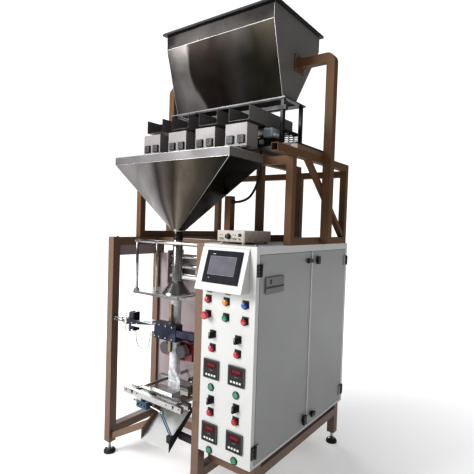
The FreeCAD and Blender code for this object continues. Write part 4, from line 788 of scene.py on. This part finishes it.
def make_lamps():
    lamps = Piece(RED_CAP)
    phase = [(x, PHASE_ROW) for x in PHASE_COLUMNS]
    for spot, paint in zip(phase + spots(HEAT_ROWS), [RED_CAP, AMBER, BLUE] + [RED_CAP] * 4):
        lamp(lamps, spot, paint, LAMP_OUT, 0.0105)
    for spot in spots(READY_ROWS):
        lamp(lamps, spot, GREEN_CAP, READY_OUT, 0.0065)
    lamps.made("lamp_caps", slot="lamp_red", replaces=["pilot_lamps"])
    plates = Piece(BLACK)
    pushes = [(x, PUSH_ROW) for x in PHASE_COLUMNS]
    for x, z in phase + spots(HEAT_ROWS) + pushes + spots(SWITCH_ROWS):
        plates.slab(x + 0.003, z + 0.006, 0.038, 0.036, FACE_Y - 0.0015, FACE_Y - 0.0001, 0.0005)
    plates.made("lamp_backplates", slot="black_plastic")


def make_controller_faces():
    """Rims, windows, displays and keys on the four temperature controllers."""
    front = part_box("temperature_controllers")[0].y
    rim = (CONTROLLER - CONTROLLER_RIM) / 2
    marks = [(BLACK, 0, 0, 0.089, 0.089, 0.0012, -0.0004, 0.0008),
             (DISPLAY, 0, 0.019, 0.068, 0.030, 0.0020, 0.0010, 0.0004),
             (DIGITS, 0.001, 0.023, 0.046, 0.012, 0.0024, 0.0019, 0.0003),
             (GREY_RIM, 0.001, -0.004, 0.022, 0.004, 0.0018, 0.0010, 0.0003)]
    marks += [(KEY, step * 0.0175, -0.029, 0.011, 0.010, 0.0035, 0.0010, 0.0015) for step in FOUR]
    faces = Piece(BLACK)
    for x, z in spots(CONTROLLER_ROWS):
        faces.use(GREY_RIM)
        for side in ENDS:
            faces.slab(x, z + side * rim, CONTROLLER, CONTROLLER_RIM, front - 0.002, front + 0.001, 0.0004)
        for side in ENDS:
            faces.slab(x + side * rim, z, CONTROLLER_RIM, CONTROLLER - 2 * CONTROLLER_RIM, front - 0.002,
                       front + 0.001, 0.0004)
        for paint, right, up, wide, tall, out, back, edge in marks:
            faces.use(paint)
            faces.slab(x + right, z + up, wide, tall, front - out, front - back, edge)
    faces.made("controller_faces", slot="black_plastic")


def make_labels():
    """Blank labels over two lamps."""
    labels = Piece(LABEL)
    for x in PHASE_COLUMNS[:2]:
        labels.slab(x + 0.008, 1.1055, 0.032, 0.007, FACE_Y - 0.0008, FACE_Y - 0.0001, 0.0002)
    labels.made("panel_labels", slot="grey_paint")


def make_nameplate():
    """A blank nameplate on the front door: a groove, a small mark and four screws."""
    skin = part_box("front_door")[1].x
    y, z = -0.351, 1.156
    plate = Piece(LABEL)
    for paint, along, up, wide, tall, inner, outer, edge in (
            (LABEL, 0, 0, 0.170, 0.082, -0.0001, 0.0010, 0.0003),
            (BLACK, 0, -0.008, 0.162, 0.010, 0.0009, 0.0014, 0.0002),
            (BLACK, -0.041, 0.018, 0.016, 0.022, 0.0009, 0.0014, 0.0002)):
        plate.use(paint)
        plate.box((skin + inner, y + along - wide / 2, z + up - tall / 2),
                  (skin + outer, y + along + wide / 2, z + up + tall / 2), edge)
    plate.use(POLISHED)
    for along in (-0.079, 0.079):
        for up in (-0.035, 0.035):
            screw = Vector((skin, y + along, z + up))
            plate.rod(screw + X * 0.0008, screw + X * 0.002, 0.002, 0.0004, 10)
    plate.made("nameplate", "front_door", "grey_paint")


def make_button_faces():
    """Caps on the two push buttons and white marks on the selectors."""
    for name, slot in (("start_button", "button_green"), ("stop_button", "lamp_red")):
        middle = middle_of(name)
        start = (middle.x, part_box(name)[0].y + 0.003, middle.z)
        cap = Piece(PAINTS[slot])
        cap.lathe([(0.0139, 0), (0.0139, 0.004), (0.0126, 0.0052), (0, 0.0058)], start, -Y, 28)
        cap.made(name + "_cap", name, slot)
    for number in range(1, 5):
        low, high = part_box(f"heater_switch_{number}")
        x, z = middle_of(f"heater_switch_{number}").xz
        mark = Piece(KEY)
        mark.box((x - 0.001, low.y - 0.0006, z + 0.001), (x + 0.001, low.y + 0.001, high.z - 0.002), 0.0003)
        mark.made(f"switch_mark_{number}", f"heater_switch_{number}", "black_plastic")


make_touch_screen()
make_lamps()
make_controller_faces()
make_labels()
make_nameplate()
make_button_faces()

# ---- hopper and funnel seams

HOPPER_SIDE, HOPPER_FRONT, HOPPER_BACK = 0.4195, -0.125, 0.430
HOPPER_TOP, HOPPER_BEND, HOPPER_FOOT = 2.683, 2.595, 2.186
FOOT_FRONT, FOOT_BACK = -0.005, 0.140
FUNNEL_TIP_FRONT, FUNNEL_TIP_Z, TIP_SHARE = -0.424, 1.402, 0.055
TUBE_Y = -0.400
HEADS = [head * 0.218 for head in FOUR]
PAD_SIDE, PAD, PAD_Z = 0.036, 0.043, 1.899
PANE, PANE_STEP = 0.012, 0.0095


def make_hopper_welds():
    """The welded edges that catch the light on the hopper."""
    seams = Piece(WELD_BEAD)
    wide, proud = HOPPER_SIDE + 0.0005, HOPPER_FRONT - 0.0008
    seams.sweep([(-wide, proud, HOPPER_BEND), (wide, proud, HOPPER_BEND)], 0.0022, 8)
    for x in (-HOPPER_SIDE, HOPPER_SIDE):
        seams.sweep([(x, HOPPER_FRONT, HOPPER_TOP), (x, HOPPER_FRONT, HOPPER_BEND),
                     (x, FOOT_FRONT, HOPPER_FOOT)], 0.0026, 8)
    seams.sweep([(HOPPER_SIDE, HOPPER_BACK, HOPPER_TOP), (HOPPER_SIDE, HOPPER_BACK, HOPPER_BEND),
                 (HOPPER_SIDE, FOOT_BACK, HOPPER_FOOT)], 0.0026, 8)
    seams.made("hopper_welds", slot="stainless")


def make_funnel_welds():
    """The funnel's folded edges, its rim and the ring at its spout."""
    low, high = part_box("collection_funnel")
    side, front, back = high.x - 0.002, low.y + 0.002, high.y - 0.002
    brim, bend = high.z - 0.001, high.z - 0.045
    edge = Piece(WELD_BEAD)
    for x in (-side, side):
        edge.sweep([(x, front, bend), (x * TIP_SHARE, FUNNEL_TIP_FRONT, FUNNEL_TIP_Z)], 0.0022, 8)
    edge.sweep([(-side, front - 0.0005, bend), (side, front - 0.0005, bend)], 0.0016, 8)
    edge.sweep([(-side, front - 0.0015, brim), (side, front - 0.0015, brim)], 0.0022, 8)
    edge.sweep([(side + 0.0015, front, brim), (side + 0.0015, back, brim)], 0.0022, 8)
    edge.ring((0, TUBE_Y, 1.396), Z, 0.031, 0.0275, 0.010)
    edge.made("funnel_welds", slot="stainless")


def make_bucket_windows():
    """Each bucket's two dark pads carry four small grey windows."""
    windows = Piece(BLACK)
    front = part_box("weigh_buckets")[0].y
    for head in HEADS:
        for side in (-PAD_SIDE, PAD_SIDE):
            x = head + side
            windows.use(BLACK)
            windows.slab(x, PAD_Z, PAD, PAD, front - 0.002, front + 0.004, 0.0015)
            windows.use(WINDOW_GREY)
            for right in (-PANE_STEP, PANE_STEP):
                for up in (-PANE_STEP, PANE_STEP):
                    windows.slab(x + right, PAD_Z + up, PANE, PANE, front - 0.0024, front - 0.0018, 0.0004)
    windows.made("bucket_windows", slot="black_plastic")


make_hopper_welds()
make_funnel_welds()
make_bucket_windows()

# ---- film

WEB_HALF, SLEEVE = 0.0011, 0.0295
CLOSING_TOP, CLOSING_FOOT, NIP_TOP = 0.638, 0.535, 0.515
CORE_OUTER, CORE_INNER, ROLL_HALF, SHAFT = 0.045, 0.038, 0.104, 0.012


def make_film():
    """The film round the forming tube, which closes to a flat creased web that runs smooth into the jaws."""
    low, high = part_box("film_tube")
    sides, rows = 72, 150
    points, faces = [], []
    creases = [(chance.uniform(0, 6.28), chance.uniform(2, 7), chance.uniform(8, 40)) for i in range(7)]
    for row in range(rows + 1):
        z = high.z + (low.z - high.z) * row / rows
        share = min(max((CLOSING_TOP - z) / (CLOSING_TOP - CLOSING_FOOT), 0), 1)
        share = share * share * (3 - 2 * share)
        across, deep = SLEEVE + (high.x - SLEEVE) * share, SLEEVE + (WEB_HALF - SLEEVE) * share
        swell = 0.0002 + 0.0016 * math.sin(math.pi * share) + 0.0006 * share
        loose = min(max((z - NIP_TOP) / 0.03, 0.03), 1) * (0.5 if z > 0.64 else 1)
        for k in range(sides):
            angle = 2 * math.pi * k / sides
            ripple = sum(math.sin(phase + round(turns) * angle + z * rise) for phase, turns, rise in creases)
            away = max(ripple, -0.3) * swell * loose
            points.append((math.cos(angle) * (across + away), TUBE_Y + math.sin(angle) * (deep + away), z))
    for row in range(rows):
        for k in range(sides):
            m = (k + 1) % sides
            faces.append([row * sides + k, (row + 1) * sides + k, (row + 1) * sides + m, row * sides + m])
    film = Piece(PAINTS["film"])
    film.add(points, faces)
    film.made("film_sleeve", slot="film", replaces=["film_tube"])


def make_film_roll():
    """The wound laminate: smooth plain layers on a board core, with the shaft and its end cones."""
    low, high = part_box("film_roll")
    y, z = middle_of("film_roll").yz
    outer, wide = (high.z - low.z) / 2, 2 * ROLL_HALF
    layers = [(CORE_OUTER + (outer - CORE_OUTER - 0.002) * step / 20, 0.0004 if step % 2 else -0.0006)
              for step in range(1, 20)]
    outline = [(CORE_OUTER, 0)] + layers
    outline += [(outer - 0.002, 0), (outer, 0.001), (outer, wide - 0.001), (outer - 0.002, wide)]
    outline += [(radius, wide - height) for radius, height in layers[::-1]]
    outline += [(CORE_OUTER, wide), (CORE_OUTER, 0)]
    roll = Piece(ROLL_FILM)
    roll.lathe(outline, (-ROLL_HALF, y, z), X, 96)
    roll.use(BOARD)
    roll.ring((-ROLL_HALF - 0.003, y, z), X, CORE_OUTER, CORE_INNER, wide + 0.006, sides=48)
    roll.use(PAINTS["aluminium_part"])
    for side in ENDS:
        roll.lathe([(0.030, 0), (0.0375, 0.006), (0.0375, 0.012), (SHAFT + 0.004, 0.034), (SHAFT, 0.036)],
                   (side * (ROLL_HALF - 0.008), y, z), X * side, 40)
    roll.use(POLISHED)
    roll.rod((low.x, y, z), (high.x, y, z), SHAFT, 0.002, 28)
    roll.made("film_winding", "film_roll", "film", ["film_roll"])


make_film()
make_film_roll()

# ---- cabinet, frame and hopper supports

EAR_FACE, EAR_HEIGHT, EAR_INSET = 0.426, 0.100, 0.012
COVER_RIGHT = 0.455
SPRING_FOOT, LEAF_BOLT_Z, LEAF_FACE, TERMINAL_GLAND_Z = 1.893, 1.925, 0.057, 1.945


def make_door_seam():
    """A white strip in the gap between the two side doors, as a painted highlight."""
    low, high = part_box("rear_door")
    seam = (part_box("front_door")[1].y + low.y) / 2
    strip = Piece(SEAM_PAINTED_HIGHLIGHT)
    strip.box((high.x - 0.004, seam - 0.0012, low.z), (high.x - 0.0002, seam + 0.0012, high.z), 0.0003)
    strip.made("door_seam", slot="cabinet_paint")


def make_base_bolts():
    """Bolt heads on the gantry's ears and on top of the frame's corner posts."""
    low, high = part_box("hopper_gantry")
    bolts = Piece(POLISHED)
    for side in ENDS:
        for y in (low.y + EAR_INSET, high.y - EAR_INSET):
            for z in (high.z - EAR_HEIGHT + EAR_INSET, high.z - EAR_INSET):
                bolts.bolt((side * EAR_FACE, y, z), X * side)
    frame_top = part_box("main_frame")[1].z
    for x in (-0.455, 0.580):
        for y in (-0.465, 0.490):
            bolts.bolt((x, y, frame_top), Z, 0.007, 0.005)
    bolts.made("frame_bolts", slot="polished_steel")


def add_drive(parts, x):
    """One pan's drive: bolts of its leaf springs, two coil springs, a connector and a clamp."""
    for side in ENDS:
        parts.use(POLISHED)
        for y in (-0.100, 0.060):
            parts.bolt((x + side * LEAF_FACE, y, LEAF_BOLT_Z), X * side)
        parts.use(ENAMEL)
        parts.spring((x + side * 0.045, 0.105, SPRING_FOOT), Z, 0.012, 0.0022, 0.058, 6)
    parts.use(CREAM)
    parts.box((x + 0.028, -0.142, 1.900), (x + 0.052, -0.121, 1.926), 0.002)
    parts.use(POLISHED)
    parts.box((x - 0.025, -0.1225, 1.930), (x + 0.020, -0.1195, 1.948), 0.0006)


def add_terminal(parts):
    """The sprung bracket, the glands and the cover screws at the terminal box."""
    parts.use(ENAMEL)
    for y in (-0.035, 0.020, 0.075):
        parts.spring((COVER_RIGHT + 0.012, y, SPRING_FOOT), Z, 0.013, 0.0025, 0.082, 7)
        parts.box((COVER_RIGHT - 0.004, y - 0.016, 1.975), (COVER_RIGHT + 0.028, y + 0.016, 1.983), 0.001)
    parts.box((COVER_RIGHT - 0.002, -0.060, 1.983), (COVER_RIGHT + 0.024, 0.100, 1.992), 0.001)
    parts.use(CREAM)
    for y in (-0.150, -0.125, -0.100):
        gland = Vector((COVER_RIGHT, y, TERMINAL_GLAND_Z))
        parts.rod(gland, gland + X * 0.016, 0.0065)
        parts.rod(gland + X * 0.016, gland + X * 0.022, 0.0045)
    parts.use(POLISHED)
    for y in (-0.155, -0.073):
        for z in (1.940, 1.974):
            parts.rod((COVER_RIGHT - 0.0002, y, z), (COVER_RIGHT + 0.0018, y, z), 0.003, 0.0005, 10)


def make_feeder_details():
    parts = Piece(ENAMEL)
    for x in HEADS:
        add_drive(parts, x)
    add_terminal(parts)
    parts.made("feeder_fittings", slot="black_steel")


make_door_seam()
make_base_bolts()
make_feeder_details()

# ---- film bay

HANGER_Y = -0.484
HOSE_Y = -0.536


def add_hanger_collars(parts):
    """Clamp collars with their screws at both ends of the two hangers."""
    for x, radius in ((-0.245, 0.008), (-0.080, 0.005)):
        for z in (1.333, 1.046):
            parts.ring((x, HANGER_Y, z - 0.008), Z, radius + 0.008, radius, 0.016)
            parts.rod((x, HANGER_Y - radius - 0.013, z), (x, HANGER_Y - radius - 0.006, z), 0.003, 0.0006, 10)


def add_seal_unit_screws(parts):
    """Screws in the seal unit's block and arm, and nuts along its two studs."""
    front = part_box("vertical_seal_unit")[0].y
    for x in (-0.052, -0.020, 0.030, 0.078):
        for z in (0.812, 0.878):
            parts.rod((x, front + 0.0005, z), (x, front - 0.0025, z), 0.005, 0.0008, 14)
    for x in (-0.300, -0.255, -0.210):
        parts.rod((x, front + 0.0035, 0.850), (x, front + 0.0005, 0.850), 0.0045, 0.0008, 14)
    for x in (-0.335, -0.360, -0.425):
        for z in (0.842, 0.858):
            parts.rod((x, -0.494, z), (x + 0.008, -0.494, z), 0.0078, 0.0012, 6)


def add_chute_hoses(parts):
    """Two blue air lines from the jaws' fitting to the block on the chute."""
    parts.use(BLUE_HOSE)
    parts.rod((0.024, -0.530, 0.408), (0.106, HOSE_Y, 0.312), 0.0032)
    parts.rod((0.040, -0.530, 0.412), (0.123, HOSE_Y, 0.312), 0.0032)
    parts.use(BLACK)
    parts.box((0.096, HOSE_Y - 0.013, 0.268), (0.1335, HOSE_Y + 0.013, 0.308), 0.003)
    parts.use(POLISHED)
    for x in (0.106, 0.123):
        parts.rod((x, HOSE_Y, 0.3075), (x, HOSE_Y, 0.316), 0.0048)
    parts.box((0.016, -0.538, 0.402), (0.052, -0.524, 0.420), 0.002)


def make_bay_details():
    parts = Piece(PAINTS["chromed"])
    add_hanger_collars(parts)
    add_seal_unit_screws(parts)
    add_chute_hoses(parts)
    parts.made("bay_fittings", slot="chromed")


def make_blue_unit():
    """Tee fittings, two pipes and a solenoid on the pneumatic unit below the jaws."""
    low, high = AIR_UNIT
    y, z = high.y - 0.024, (low.z + high.z) / 2
    unit = Piece(POLISHED)
    for x in (-0.100, -0.076, -0.052):
        unit.use(POLISHED)
        unit.rod((x, low.y - 0.0005, z), (x, low.y - 0.008, z), 0.006)
        unit.use(BLUE_HOSE)
        unit.rod((x, low.y - 0.008, z), (x, low.y - 0.013, z), 0.0045)
    unit.use(POLISHED)
    unit.rod((low.x, y, z), (low.x - 0.050, y, z), 0.005)
    unit.rod((high.x, y, z), (high.x + 0.090, y, z - 0.009), 0.005)
    unit.use(BLACK)
    unit.box((-0.092, -0.570, high.z + 0.0005), (-0.060, -0.560, high.z + 0.020), 0.002)
    unit.made("air_fittings", slot="polished_steel")


def make_guide_nuts():
    """Nuts on the ends of the two jaw guide rods and cap screws along the front bridge."""
    front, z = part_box("jaw_guides")[0].y, 0.487
    nuts = Piece(POLISHED)
    for x in (-0.160, 0.160):
        nuts.bolt((x, front, z), -Y, 0.011, 0.007)
    for x in (-0.205, -0.115, 0.115, 0.205):
        nuts.rod((x, front + 0.0002, z), (x, front - 0.004, z), 0.005, 0.0008, 16)
    nuts.made("guide_nuts", slot="polished_steel")


make_bay_details()
make_blue_unit()

# ---- weigher controller and doors

CONTROLLER_FRONT = -0.410
HINGE_HEIGHT = 0.058
TOGGLES, LEVER_Z, SMALL_LAMP_Z = (0.316, 0.330, 0.400, 0.414, 0.440), 1.372, 1.392


def make_controller_front():
    """The paler front plate, toggles, small lamps and dial ring of the weigher's controller box."""
    front = CONTROLLER_FRONT
    plate = Piece(PALE_BEIGE)
    plate.box((0.302, front - 0.0018, 1.362), (0.464, front - 0.0001, 1.409), 0.0006)
    plate.use(POLISHED)
    for x in TOGGLES:
        plate.rod((x, front - 0.0015, LEVER_Z), (x, front - 0.0045, LEVER_Z), 0.0052, 0.0006, 6)
        plate.rod((x, front - 0.004, LEVER_Z), (x, front - 0.013, LEVER_Z + 0.005), 0.0017, 0.0006, 10)
    plate.use(RED_CAP)
    for x in TOGGLES[:4]:
        plate.rod((x, front - 0.0015, SMALL_LAMP_Z), (x, front - 0.0038, SMALL_LAMP_Z), 0.0028, 0.0005, 12)
    plate.use(BLACK)
    x, z = middle_of("controller_dial").xz
    plate.ring((x, front - 0.0028, z), Y, 0.0155, 0.013, 0.0012)
    plate.box((0.432, front - 0.003, 1.384), (0.452, front - 0.0015, 1.400), 0.0006)
    plate.made("controller_front", slot="beige_paint")
    pointer = Piece(KEY)
    pointer.slab(x, z + 0.00625, 0.0016, 0.0085, -0.4258, -0.4250, 0.0002)
    pointer.made("dial_pointer", "controller_dial", "black_plastic")


def make_hinge_screws():
    """Three screws in each hinge leaf, a little proud of the doors."""
    low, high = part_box("door_hinges")
    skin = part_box("front_door")[1].x
    screws = Piece(POLISHED)
    for y in (low.y + 0.012, high.y - 0.012):
        for foot in (low.z, high.z - HINGE_HEIGHT):
            for up in (0.010, 0.029, 0.048):
                screws.rod((skin - 0.0002, y, foot + up), (skin + 0.0012, y, foot + up), 0.0026, 0.0005, 10)
    screws.made("hinge_screws", slot="polished_steel")


make_controller_front()
make_guide_nuts()
make_hinge_screws()

# ---- floor

FLOOR_HALF = 20


def make_floor():
    """A pale floor that brightens away from the machine."""
    mesh = bpy.data.meshes.new("floor")
    corners = [(x * FLOOR_HALF, y * FLOOR_HALF, 0) for x, y in ((-1, -1), (1, -1), (1, 1), (-1, 1))]
    mesh.from_pydata(corners, [], [(0, 1, 2, 3)])
    paint = Paint("studio_floor")
    paint.set(Base_Color=(0.8, 0.8, 0.8, 1), Roughness=0.7, Emission_Color=(1, 1, 1, 1))
    reach = paint.node("VectorMath", operation="LENGTH")
    paint.link(paint.node("TexCoord").outputs["Object"], reach.inputs[0])
    glow = paint.span(reach.outputs["Value"], 0.3, 0.95, 0.6, 4.0)
    paint.link(glow, paint.shader.inputs["Emission Strength"])
    mesh.materials.append(paint.made)
    floor = bpy.data.objects.new("floor", mesh)
    bpy.context.scene.collection.objects.link(floor)


make_floor()
